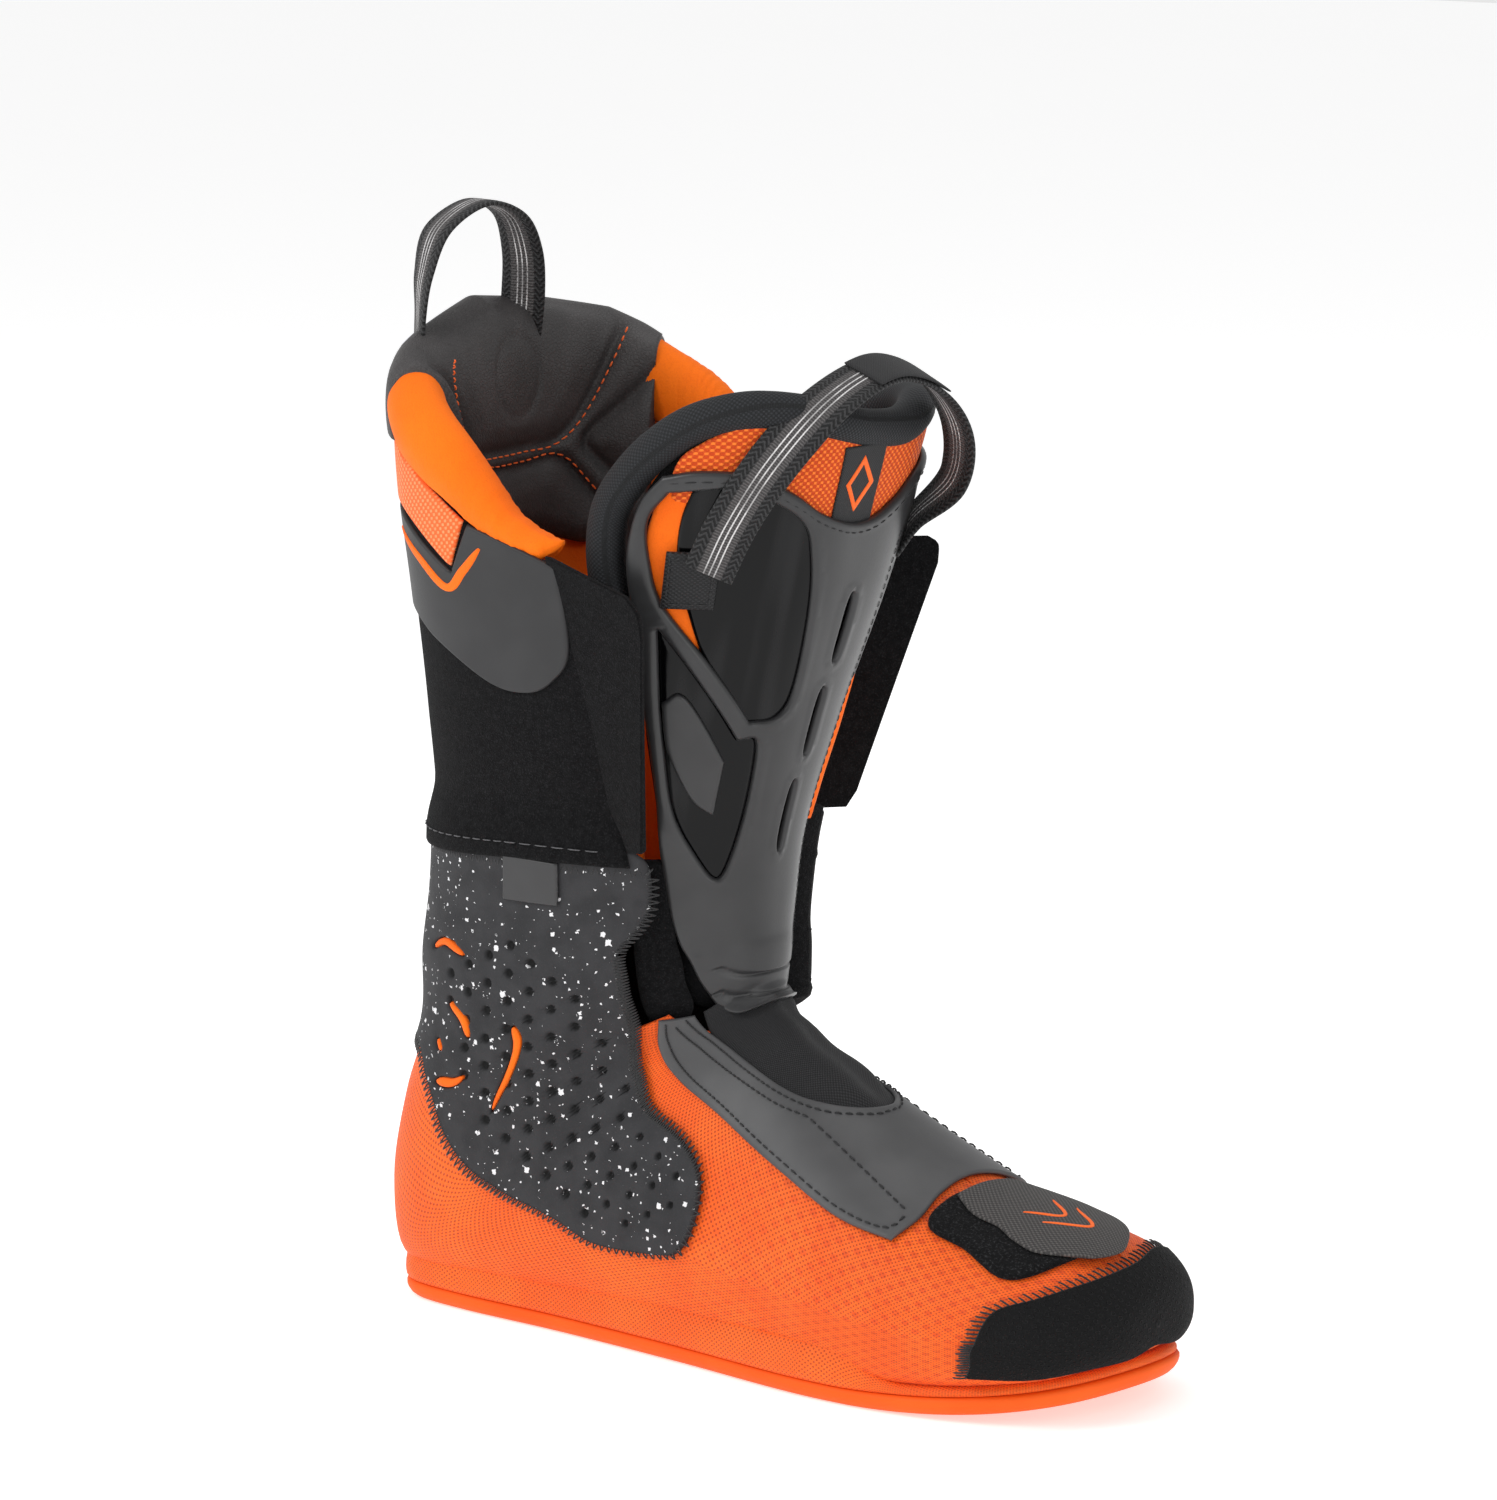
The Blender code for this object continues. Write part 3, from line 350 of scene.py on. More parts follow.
def inset_rings(loop, insets):
    """Copies of a loop moved inwards, to round its edge."""
    sideways = right_of(round_loop(loop))
    rings = []
    for inset in insets:
        for sign in (1, -1):
            ring = loop + sideways * inset * sign
            keep = distance_to(loop, ring) > inset * 0.9
            rings.append(ring[keep])
    return np.concatenate(rings)


def fill(loops, step, extra=()):
    """Triangulate the first loop less the others. Returns points, triangles and the rim edges."""
    low, high = loops[0].min(0), loops[0].max(0)
    rows = []
    row_height = step * 0.866
    for j in range(int(low[1] // row_height), int(high[1] // row_height) + 1):
        xs = (np.arange(int(low[0] // step) - 1, int(high[0] // step) + 2) + 0.5 * (j % 2)) * step
        rows.append(np.stack([xs, np.full(len(xs), j * row_height)], axis=1))
    grid = np.concatenate(rows)
    near = np.concatenate(extra) if len(extra) else np.zeros((0, 2))
    grid = without(grid, loops, 0.55 * step)
    if len(near):
        near = without(near, loops, 0.12)
        gaps = np.full(len(grid), np.inf)
        for block in range(0, len(grid), 2000):
            some = grid[block:block + 2000]
            gaps[block:block + 2000] = np.linalg.norm(some[:, None] - near, axis=2).min(1)
        grid = grid[gaps > 0.55 * step]
    points = np.concatenate(loops + [near, grid])
    edges = []
    first = 0
    for loop in loops:
        edges += [(first + i, first + (i + 1) % len(loop)) for i in range(len(loop))]
        first += len(loop)
    result = delaunay_2d_cdt([Vector(p) for p in points], edges, [], 0, 1e-6)
    flat = np.array([list(p) for p in result[0]])
    triangles = np.array(result[2])
    middles = flat[triangles].mean(1)
    keep = inside(loops[0], middles)
    for hole in loops[1:]:
        keep &= ~inside(hole, middles)
    triangles = triangles[keep]
    directed = {(int(t[k]), int(t[(k + 1) % 3])) for t in triangles for k in range(3)}
    rim = [edge for edge in directed if (edge[1], edge[0]) not in directed]
    return flat, triangles, sorted(rim)


def without(points, loops, gap):
    """The points inside the first loop, outside the others and clear of all of them."""
    keep = inside(loops[0], points)
    for hole in loops[1:]:
        keep &= ~inside(hole, points)
    points = points[keep]
    for loop in loops:
        points = points[distance_to(loop, points) > gap]
    return points


# ---------------------------------------------------------------- making pieces

def add_piece(name, points, faces, material, nodes=(), body=None, chart_at=None, masks=None):
    """One closed mesh from points in mm. It replaces the CAD nodes, and rides on their body.
    """
    points = np.asarray(points, float) - np.array([HEEL_TO_ORIGIN, 0.0, 0.0])
    faces = [tuple(int(i) for i in f) for f in faces]
    mesh = bpy.data.meshes.new(name)
    mesh.from_pydata((points * MM).tolist(), [], faces)
    if chart_at is not None:
        layer = mesh.uv_layers.new(name="chart")
        corners = np.zeros(len(mesh.loops), np.int32)
        mesh.loops.foreach_get("vertex_index", corners)
        layer.data.foreach_set("uv", np.asarray(chart_at, np.float32)[corners].ravel())
    for mask_name, values in (masks or {}).items():
        layer = mesh.attributes.new(mask_name, "FLOAT", "POINT")
        layer.data.foreach_set("value", np.asarray(values, np.float32))
    mesh.materials.append(material)
    mesh.polygons.foreach_set("use_smooth", [True] * len(faces))
    mesh.update()
    piece = bpy.data.objects.new(name, mesh)
    bpy.context.scene.collection.objects.link(piece)
    if nodes:
        body = body or body_of(frame["nodes"][nodes[0]])[0]
        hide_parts(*nodes)
    if isinstance(body, tuple):
        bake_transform(piece, *body)
    else:
        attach(piece, body)
    return piece


def outward_faces(points, faces):
    """The faces, turned round if the closed body they make faces inwards."""
    points = np.asarray(points)
    triangles = np.array([(f[0], f[i], f[i + 1]) for f in faces for i in range(1, len(f) - 1)])
    a, b, c = points[triangles[:, 0]], points[triangles[:, 1]], points[triangles[:, 2]]
    volume = np.einsum("ij,ij->i", a, np.cross(b, c)).sum()
    return faces if volume > 0 else [tuple(reversed(f)) for f in faces]


def panel(name, outline, layer, material, nodes=(), body=None, chart=BODY, holes=(), step=MESH_STEP,
          edge=0.9, relief=None, lift=None, marks=(), mask=None):
    """A panel of cloth or moulding: an outline on a surface, closed and with rounded edges.

    relief raises the outer face, lift raises both faces and mask stores values for the material.
    """
    loops = [outline_loop(chart, points, step * 0.55) for points in [outline, *holes]]
    insets = (edge * 0.3, edge, edge * 1.9)
    extra = [inset_rings(loop, insets) for loop in loops] + list(marks)
    flat, triangles, rim = fill(loops, step, extra)
    to_edge = np.min([distance_to(loop, flat) for loop in loops], axis=0)
    base, top = layer
    rounding = np.sqrt(np.clip(1 - (1 - np.clip(to_edge / edge, 0, 1)) ** 2, 0, 1))
    outer_depth = base + (top - base) * (0.35 + 0.65 * rounding)
    masks = None
    inner_depth = np.full(len(flat), float(base))
    if relief is not None:
        outer_depth = outer_depth + relief(flat, to_edge, chart.place(flat, top))
    if lift is not None:
        outer_depth = outer_depth + lift(flat)
        inner_depth = inner_depth + lift(flat)
    if mask is not None:
        values = mask(flat, to_edge, chart.place(flat, top))
        masks = {key: np.concatenate([value * 0, value]) for key, value in values.items()}
    inner, outer = chart.place(flat, inner_depth), chart.place(flat, outer_depth)
    count = len(flat)
    faces = [(a, b, c) for a, b, c in triangles]
    faces += [(c + count, b + count, a + count) for a, b, c in triangles]
    faces += [(b, a, a + count) for a, b in rim]
    faces += [(b, a + count, b + count) for a, b in rim]
    points = np.concatenate([inner, outer])
    faces = outward_faces(points, faces)
    return add_piece(name, points, faces, material, nodes, body, np.concatenate([flat, flat]), masks)


def both_sides(name, outline, layer, material, nodes, inner_outline=None, pad=0.0, **options):
    """The panel and its mirror image, named after their side; pad is not used."""
    for side, shape in (("lateral", outline), ("medial", mirrored(inner_outline or outline))):
        names = [f"{node}_{side}" for node in nodes]
        piece = panel(f"{name}_{side}", shape, layer, material, names, **options)


def ring_faces(count, around, closed=False):
    """Four-cornered faces between rings of equal length. closed joins the last ring to the first."""
    faces = []
    for i in range(count if closed else count - 1):
        here, there = i * around, (i + 1) % count * around
        for k in range(around):
            following = (k + 1) % around
            faces.append((here + k, here + following, there + following, there + k))
    return faces


def closed_tube(rings):
    """Points and faces of a body through rings of equal length, capped with fans."""
    count, around = len(rings), len(rings[0])
    points = np.concatenate(list(rings) + [[np.mean(rings[0], axis=0), np.mean(rings[-1], axis=0)]])
    faces = ring_faces(count, around)
    last = (count - 1) * around
    for k in range(around):
        following = (k + 1) % around
        faces.append((following, k, len(points) - 2))
        faces.append((last + k, last + following, len(points) - 1))
    return points, outward_faces(points, faces)


# ---------------------------------------------------------------- threads

def resampled(line, step):
    """A line of points at even steps, with the direction at each."""
    lengths = np.concatenate([[0], np.cumsum(np.linalg.norm(np.diff(line, axis=0), axis=1))])
    count = max(2, int(round(lengths[-1] / step)) + 1)
    marks = np.linspace(0, lengths[-1], count)
    points = np.stack([np.interp(marks, lengths, line[:, k]) for k in range(line.shape[1])], axis=1)
    return points, unit(np.gradient(points, axis=0))


def running(line, length, gap):
    """Ends of running stitches along a line in a chart."""
    points, ahead = resampled(line, length + gap)
    half = ahead * length / 2
    middles = (points[:-1] + points[1:]) / 2
    return np.stack([middles - half[:-1], middles + half[:-1]], axis=1)


def zigzag(line, width, pitch):
    """Ends of overlock stitches that cross a line."""
    points, ahead = resampled(line, pitch / 2)
    side = right_of(ahead) * width / 2
    sway = side * np.where(np.arange(len(points)) % 2, 1.0, -1.0)[:, None]
    places = points + sway
    return np.stack([places[:-1], places[1:]], axis=1)


BLANKET_LEAN = 0.25             # how far a stitch leans along its line, in parts of its length


def blanket(line, length, pitch):
    """Ends of blanket stitches: legs across a line and a bar between their feet."""
    points, ahead = resampled(line, pitch)
    side = right_of(ahead)
    vary = 1 + 0.18 * np.sin(np.arange(len(points)) * 2.4)
    feet = points + (side + ahead * BLANKET_LEAN) * (length * vary)[:, None]
    legs = np.stack([points - side * 0.6, feet], axis=1)
    bars = np.stack([points[:-1], points[1:]], axis=1)
    return np.concatenate([legs, bars])


THREAD_STATIONS = np.array([0.0, 0.12, 0.5, 0.88, 1.0])
THREAD_LIFT = np.array([-0.5, 0.35, 1.0, 0.35, -0.5])
THREAD_GIRTH = np.array([0.45, 0.9, 1.0, 0.9, 0.45])
THREAD_SIDES = 6


def threads(name, chart, ends, depth, radius, material, body, inwards=False):
    """Every stitch of one seam as a short arched tube, all in one piece."""
    sign = -1.0 if inwards else 1.0
    starts, stops = ends[:, 0], ends[:, 1]
    centres = []
    for share, lift in zip(THREAD_STATIONS, THREAD_LIFT):
        centres.append(chart.place(starts + (stops - starts) * share, depth + sign * lift * radius))
    centres = np.stack(centres, axis=1)
    above = chart.place((starts + stops) / 2, depth + sign * 1.0)
    below = chart.place((starts + stops) / 2, depth)
    out = (above - below)[:, None, :]
    ahead = unit(np.gradient(centres, axis=1))
    out = unit(out - ahead * (out * ahead).sum(2, keepdims=True))
    side = np.cross(ahead, out)
    angles = np.linspace(0, 2 * math.pi, THREAD_SIDES, endpoint=False)
    girth = (radius * THREAD_GIRTH)[None, :, None, None]
    turned = (np.cos(angles)[None, None, :, None] * side[:, :, None, :]
              + np.sin(angles)[None, None, :, None] * out[:, :, None, :])
    points = (centres[:, :, None, :] + girth * turned).reshape(-1, 3)
    size = len(THREAD_STATIONS) * THREAD_SIDES
    around = range(THREAD_SIDES)
    pattern = ring_faces(len(THREAD_STATIONS), THREAD_SIDES)
    pattern.append(tuple(reversed(around)))
    pattern.append(tuple(size - THREAD_SIDES + k for k in around))
    faces = [tuple(index + i * size for index in face) for i in range(len(ends)) for face in pattern]
    return add_piece(name, points, outward_faces(points, faces), material, body=body)


# ---------------------------------------------------------------- materials

def paint(red, green, blue):
    """A colour given as 0 to 255 on the usual scale, as the linear values that shaders use."""
    def linear(value):
        value /= 255.0
        return value / 12.92 if value <= 0.04045 else ((value + 0.055) / 1.055) ** 2.4
    return (linear(red), linear(green), linear(blue), 1.0)


ORANGE = paint(247, 94, 12)
ORANGE_LIGHT = paint(255, 138, 62)
ORANGE_DEEP = paint(206, 66, 8)
CHARCOAL = paint(58, 58, 60)


class Finish:
    """A Principled material, with short helpers that add its nodes."""

    def __init__(self, name, colour, roughness, sheen=0.0, specular=0.5):
        self.material = bpy.data.materials.new(name)
        self.material.use_nodes = True
        self.tree = self.material.node_tree
        self.shader = self.tree.nodes["Principled BSDF"]
        for socket, value in (("Base Color", colour), ("Roughness", roughness), ("Sheen Roughness", 0.5),
                              ("Specular IOR Level", specular), ("Sheen Weight", sheen * 0.3)):
            self.shader.inputs[socket].default_value = value

    def node(self, kind, inputs=(), **settings):
        """Add a node. inputs are (socket name or number, value or socket)."""
        node = self.tree.nodes.new(kind)
        for key, value in settings.items():
            setattr(node, key, value)
        for key, value in inputs:
            if isinstance(value, bpy.types.NodeSocket):
                self.tree.links.new(value, node.inputs[key])
            else:
                node.inputs[key].default_value = value
        return node

    def math(self, operation, a, b=0.0):
        return self.node("ShaderNodeMath", [(0, a), (1, b)], operation=operation).outputs[0]

    def times(self, a, b):
        return self.math("MULTIPLY", a, b)

    def wave(self, x, period, kind="COSINE"):
        """A wave of that period from -1 to 1."""
        return self.math(kind, self.times(x, 2 * math.pi / period))

    def step(self, value, low, high):
        """0 below low, 1 above high; smooth between."""
        node = self.node("ShaderNodeMapRange", [("Value", value), ("From Min", low), ("From Max", high)],
                         interpolation_type="SMOOTHSTEP")
        return node.outputs[0]

    def chart(self):
        """The two chart coordinates in mm."""
        uv = self.node("ShaderNodeUVMap", uv_map="chart").outputs[0]
        split = self.node("ShaderNodeSeparateXYZ", [(0, uv)])
        return split.outputs[0], split.outputs[1]

    def place(self):
        """Object coordinates, in metres."""
        return self.node("ShaderNodeTexCoord").outputs["Object"]

    def noise(self, size, detail=2.0, rough=0.5, vector=None):
        """Noise from 0 to 1 whose features are about that many mm across."""
        scale = 1.0 / (size if vector is not None else size * MM)
        vector = vector if vector is not None else self.place()
        node = self.node("ShaderNodeTexNoise", [("Vector", vector), ("Scale", scale), ("Detail", detail),
                                                ("Roughness", rough)])
        return node.outputs["Fac"]

    def mix(self, share, a, b):
        """Blend two colours or colour sockets."""
        return self.node("ShaderNodeMix", [(0, share), (6, a), (7, b)], data_type="RGBA").outputs[2]

    def waves(self, x, y, period_x, period_y):
        """A staggered grid of bumps: 1 at their tops, -1 between them."""
        return self.times(self.wave(x, period_x), self.wave(y, period_y))

    def colour(self, socket):
        self.tree.links.new(socket, self.shader.inputs["Base Color"])

    def roughness(self, socket):
        self.tree.links.new(socket, self.shader.inputs["Roughness"])

    def bump(self, height, depth, before=None):
        """Bump of that depth in mm, on top of an earlier one."""
        inputs = [("Height", height), ("Distance", depth * MM), ("Strength", 1.0)]
        if before is not None:
            inputs.append(("Normal", before))
        node = self.node("ShaderNodeBump", inputs)
        self.tree.links.new(node.outputs[0], self.shader.inputs["Normal"])
        return node.outputs[0]

    def mask(self, name):
        """A value stored on the mesh."""
        return self.node("ShaderNodeAttribute", attribute_name=name).outputs["Fac"]


def knit_finish():
    """Orange knitted mesh: small staggered holes, and larger darker dots towards the toe."""
    f = Finish("knit_mesh", ORANGE, 0.62, sheen=0.12, specular=0.35)
    x, y = f.chart()
    weave = f.waves(x, y, 1.9, 1.5)
    holes = f.step(weave, 0.25, 0.75)
    dots = f.step(f.waves(x, y, 7.6, 5.4), 0.15, 0.6)
    towards_toe = f.step(x, 215.0, 95.0)
    soft = f.noise(22.0)
    base = f.mix(f.step(soft, 0.35, 0.65), ORANGE, paint(252, 104, 20))
    base = f.mix(f.times(f.times(dots, towards_toe), 0.6), base, paint(214, 66, 6))
    fibre = f.noise(0.5, 3.0)
    base = f.mix(f.times(f.step(fibre, 0.52, 0.75), 0.35), base, ORANGE_LIGHT)
    f.colour(f.mix(f.times(holes, 0.75), base, paint(176, 50, 4)))
    first = f.bump(f.math("SUBTRACT", 1.0, holes), 0.28)
    f.bump(fibre, 0.12, before=first)
    return f.material


def plain_orange_finish(name, colour, second, fibre_size=0.6, sheen=0.25, depth=0.15):
    """Brushed orange knit, soft and nearly even."""
    f = Finish(name, colour, 0.75, sheen=sheen, specular=0.25)
    soft = f.noise(26.0, 2.0)
    fibre = f.noise(fibre_size, 3.0, 0.6)
    base = f.mix(f.step(soft, 0.3, 0.7), colour, second)
    f.colour(f.mix(f.times(f.step(fibre, 0.45, 0.7), 0.16), base, ORANGE_DEEP))
    f.bump(fibre, depth)
    return f.material


def ribbed_orange_finish():
    """Salmon coated mesh with fine diagonal ribs."""
    f = Finish("salmon_mesh", paint(252, 110, 46), 0.6, sheen=0.1, specular=0.3)
    x, y = f.chart()
    slant = f.math("ADD", x, f.times(y, 0.25))
    ribs = f.waves(slant, y, 2.3, 1.6)
    f.colour(f.mix(f.step(ribs, -0.1, 0.7), paint(250, 104, 40), paint(255, 150, 96)))
    f.bump(f.step(ribs, -0.6, 0.8), 0.22)
    return f.material


def flecked_finish():
    """Dark foam with pale chips and dark pits."""
    f = Finish("flecked_foam", CHARCOAL, 0.68, specular=0.25)
    place = f.place()
    shift = f.node("ShaderNodeTexNoise", [("Vector", place), ("Scale", 900.0), ("Detail", 2.0)])
    nudge = f.node("ShaderNodeVectorMath", [(0, shift.outputs["Color"]), (1, (0.0016, 0.0016, 0.0016))],
                   operation="MULTIPLY").outputs[0]
    place = f.node("ShaderNodeVectorMath", [(0, place), (1, nudge)], operation="ADD").outputs[0]
    chips = None
    for size, reach, share in ((6.4, 0.12, 0.5), (3.1, 0.15, 0.42), (1.5, 0.19, 0.24)):
        cell = f.node("ShaderNodeTexVoronoi", [("Vector", place), ("Scale", 1.0 / (size * MM))],
                      distance="CHEBYCHEV")
        tint = f.node("ShaderNodeSeparateColor", [(0, cell.outputs["Color"])])
        chosen = f.math("LESS_THAN", tint.outputs[0], share)
        size_here = f.times(f.math("ADD", tint.outputs[1], 0.25), reach)
        chip = f.times(f.math("LESS_THAN", cell.outputs["Distance"], size_here), chosen)
        chips = chip if chips is None else f.math("MAXIMUM", chips, chip)
    grain = f.noise(0.7, 3.0, 0.6)
    soft = f.noise(9.0)
    base = f.mix(f.step(soft, 0.3, 0.7), paint(43, 43, 45), paint(52, 52, 54))
    base = f.mix(f.times(f.step(grain, 0.55, 0.75), 0.25), base, paint(72, 72, 74))
    base = f.mix(chips, base, paint(226, 226, 228))
    f.colour(f.mix(f.mask("pit"), base, paint(12, 12, 13)))
    first = f.bump(grain, 0.12)
    f.bump(chips, 0.08, before=first)
    return f.material


def pile_finish(name="black_pile", colour=paint(15, 15, 16), fleck=paint(50, 50, 52), size=0.55):
    """Short looped pile: nearly black, with finer grey specks."""
    f = Finish(name, colour, 0.95, sheen=0.12, specular=0.06)
    loops = f.noise(size, 3.0, 0.7)
    second = f.noise(size * 3.5, 2.0, 0.5)
    base = f.mix(f.step(second, 0.35, 0.7), colour, paint(22, 22, 23))
    f.colour(f.mix(f.times(f.step(loops, 0.5, 0.72), 0.6), base, fleck))
    f.bump(loops, 0.45)
    return f.material


def satin_finish(name, colour, roughness=0.46, grain_size=0.5, depth=0.03, second=None, specular=0.5):
    """Smooth satin sheet or moulding with a trace of grain and soft unevenness."""
    f = Finish(name, colour, roughness, specular=specular)
    soft = f.noise(18.0, 2.0)
    second = second or tuple(min(1.0, c * 1.22) for c in colour[:3]) + (1.0,)
    f.colour(f.mix(f.step(soft, 0.3, 0.72), colour, second))
    grain = f.noise(grain_size, 3.0, 0.6)
    f.roughness(f.math("ADD", f.times(grain, 0.14), roughness - 0.07))
    f.bump(grain, depth)
    return f.material


def leather_finish():
    """Grained synthetic leather, nearly black."""
    f = Finish("grained_leather", paint(62, 60, 60), 0.5, specular=0.4)
    cell = f.node("ShaderNodeTexVoronoi", [("Vector", f.place()), ("Scale", 1.0 / (1.15 * MM))],
                  feature="DISTANCE_TO_EDGE").outputs["Distance"]
    pebbles = f.step(cell, 0.0, 0.22)
    fine = f.noise(0.6, 3.0)
    soft = f.noise(20.0)
    base = f.mix(f.step(soft, 0.3, 0.7), paint(58, 56, 56), paint(70, 67, 67))
    f.colour(f.mix(f.times(f.math("SUBTRACT", 1.0, pebbles), 0.35), base, paint(40, 39, 40)))
    f.roughness(f.math("ADD", f.times(fine, 0.2), 0.38))
    first = f.bump(pebbles, 0.1)
    f.bump(fine, 0.06, before=first)
    return f.material


def bumped_toe_finish():
    """Black rubberised cloth with rows of small raised rings, their rims lightened as a painted highlight
    and their hollow middles darkened as painted shade.
    """
    f = Finish("toe_texture", paint(20, 20, 21), 0.8, specular=0.2)
    x, y = f.chart()
    rows = f.waves(x, y, 5.2, 4.4)
    highlit_pips = f.step(rows, 0.1, 0.75)
    shaded_dips = f.step(rows, 0.5, 0.85)
    fibre = f.noise(0.5, 3.0, 0.65)
    base = f.mix(f.step(fibre, 0.45, 0.72), paint(9, 9, 10), paint(20, 20, 21))
    # Painted highlight: the raised rings are lightened.
    base = f.mix(f.times(highlit_pips, 0.6), base, paint(54, 54, 55))
    # Painted shade: the hollow middle of each ring is darkened nearly black.
    base = f.mix(f.times(shaded_dips, 0.9), base, paint(6, 6, 7))
    f.colour(base)
    first = f.bump(f.math("SUBTRACT", highlit_pips, shaded_dips), 1.2)
    f.bump(fibre, 0.18, before=first)
    return f.material


def woven_finish(name, colour, second, period=1.1, depth=0.16, roughness=0.75, sheen=0.1):
    """Plain weave seen as small staggered knots."""
    f = Finish(name, colour, roughness, sheen=sheen, specular=0.3)
    x, y = f.chart()
    knots = f.step(f.waves(x, y, period * 1.2, period), -0.3, 0.7)
    fibre = f.noise(0.4, 2.0)
    base = f.mix(knots, colour, second)
    f.colour(f.mix(f.times(f.step(fibre, 0.5, 0.75), 0.2), base, second))
    f.bump(knots, depth)
    return f.material


def gloss_finish():
    """Polished black film behind the tongue's windows, with painted highlights as soft lighter streaks along
    the tongue.
    """
    f = Finish("black_gloss", paint(8, 8, 9), 0.14, specular=0.2)
    along, across = f.chart()
    stretched = f.node("ShaderNodeCombineXYZ", [(0, f.times(along, 0.1)), (1, across)])
    painted_highlight_streaks = f.noise(7.0, 1.0, 0.4, vector=stretched.outputs[0])
    # Painted highlights: lighter streaks that stand for reflections of the lights.
    f.colour(f.mix(f.step(painted_highlight_streaks, 0.46, 0.68), paint(4, 4, 5), paint(26, 26, 27)))
    f.bump(f.noise(30.0), 0.05)
    return f.material


WEBBING_WIDTH = 16.0            # mm, of the tongue's loop


def webbing_finish():
    """Herringbone webbing: black edges with a zigzag weave, grey centre with pale lines."""
    f = Finish("webbing", paint(60, 60, 62), 0.7, sheen=0.15, specular=0.35)
    along, across = f.chart()
    aside = f.math("ABSOLUTE", across)
    teeth = f.math("PINGPONG", aside, 1.5)
    phase = f.math("ADD", along, f.times(teeth, 1.1))
    bone = f.wave(phase, 1.9, "SINE")
    edge_colour = f.mix(f.step(bone, -0.1, 0.5), paint(14, 14, 15), paint(52, 52, 53))
    lines = f.wave(across, 1.7)
    ribs = f.wave(along, 0.9, "SINE")
    grey = f.mix(f.step(ribs, -0.2, 0.8), paint(62, 60, 60), paint(92, 89, 89))
    patchy = f.step(f.noise(11.0), 0.35, 0.58)
    pale = f.times(f.step(lines, 0.5, 0.9), f.step(aside, 2.9, 2.3))
    middle = f.mix(f.times(pale, f.math("ADD", f.times(patchy, 0.55), 0.4)), grey,
                   paint(226, 224, 224))
    in_middle = f.step(aside, 0.27 * WEBBING_WIDTH, 0.23 * WEBBING_WIDTH)
    f.colour(f.mix(in_middle, edge_colour, middle))
    height = f.math("ADD", f.times(bone, 0.5), f.times(ribs, 0.25))
    f.bump(height, 0.3)
    return f.material


def moulded_orange_finish():
    """Smooth moulded orange foam of the sole."""
    f = Finish("sole_foam", paint(240, 92, 20), 0.6, specular=0.2)
    soft = f.noise(30.0)
    grain = f.noise(0.8, 3.0)
    f.colour(f.mix(f.step(soft, 0.3, 0.7), paint(238, 90, 18), paint(244, 98, 24)))
    f.bump(grain, 0.05)
    return f.material


def thread_finish(name, colour):
    """Twisted sewing thread."""
    f = Finish(name, colour, 0.6, sheen=0.2, specular=0.4)
    twist = f.noise(0.35, 2.0)
    second = tuple(min(1.0, c * 1.7 + 0.01) for c in colour[:3]) + (1.0,)
    f.colour(f.mix(f.step(twist, 0.4, 0.65), colour, second))
    f.bump(twist, 0.1)
    return f.material


KNIT = knit_finish()
FLECKED = flecked_finish()
PILE = pile_finish()
TAG_SATIN = satin_finish("tag_satin", paint(46, 46, 47), 0.45)
ORANGE_PRINT = plain_orange_finish("orange_print", paint(250, 100, 30), paint(255, 112, 40), depth=0.03)
FILM = satin_finish("grey_film", paint(46, 46, 47), 0.5, second=paint(51, 51, 52), specular=0.3)
SALMON = ribbed_orange_finish()
COLLAR_KNIT = plain_orange_finish("collar_knit", paint(252, 108, 0), paint(255, 118, 0), sheen=0.05)
LINING_ORANGE = plain_orange_finish("lining_orange", paint(253, 104, 2), paint(255, 114, 6))
LINING_BLACK = pile_finish("lining_black", paint(20, 20, 21), paint(40, 40, 42), 0.8)
LEATHER = leather_finish()
TOE_TEXTURE = bumped_toe_finish()
OVERLAY_SHEET = satin_finish("overlay_sheet", paint(70, 70, 71), 0.48, second=paint(78, 78, 79),
                             specular=0.4)
GUSSET_CLOTH = woven_finish("gusset_cloth", paint(20, 20, 21), paint(50, 50, 52), 1.1)
HOOK_TAB = woven_finish("hook_tab", paint(58, 56, 56), paint(96, 93, 91), 1.5, 0.25)
LOOP_PATCH_PILE = pile_finish("loop_pile", paint(17, 17, 18), paint(70, 70, 72), 0.8)
TONGUE_SATIN = satin_finish("tongue_satin", paint(42, 42, 43), 0.36, 0.8, 0.02, paint(49, 49, 50), 0.46)
TONGUE_KNIT = woven_finish("tongue_knit", paint(196, 62, 8), paint(255, 124, 40), 1.8, 0.3)
GLOSS = gloss_finish()
SOLE_FOAM = moulded_orange_finish()
BINDING_CLOTH = woven_finish("binding_cloth", paint(22, 23, 25), paint(44, 46, 49), 1.3, 0.16)
LABEL_CLOTH = woven_finish("label_cloth", paint(36, 36, 37), paint(52, 52, 53), 0.7, 0.08)
PATCH_CLOTH = woven_finish("strap_patch_cloth", paint(16, 16, 17), paint(40, 40, 42), 1.0, 0.15, 0.45)
FELT = pile_finish("footbed_felt", paint(38, 38, 40), paint(70, 70, 72), 0.6)
WEBBING = webbing_finish()
BLACK_THREAD = thread_finish("black_thread", paint(26, 26, 27))
ORANGE_THREAD = thread_finish("orange_thread", paint(252, 96, 30))
GREY_THREAD = thread_finish("grey_thread", paint(72, 72, 74))
PIPING = satin_finish("grey_piping", paint(66, 66, 68), 0.45)


# ---------------------------------------------------------------- sole and foot

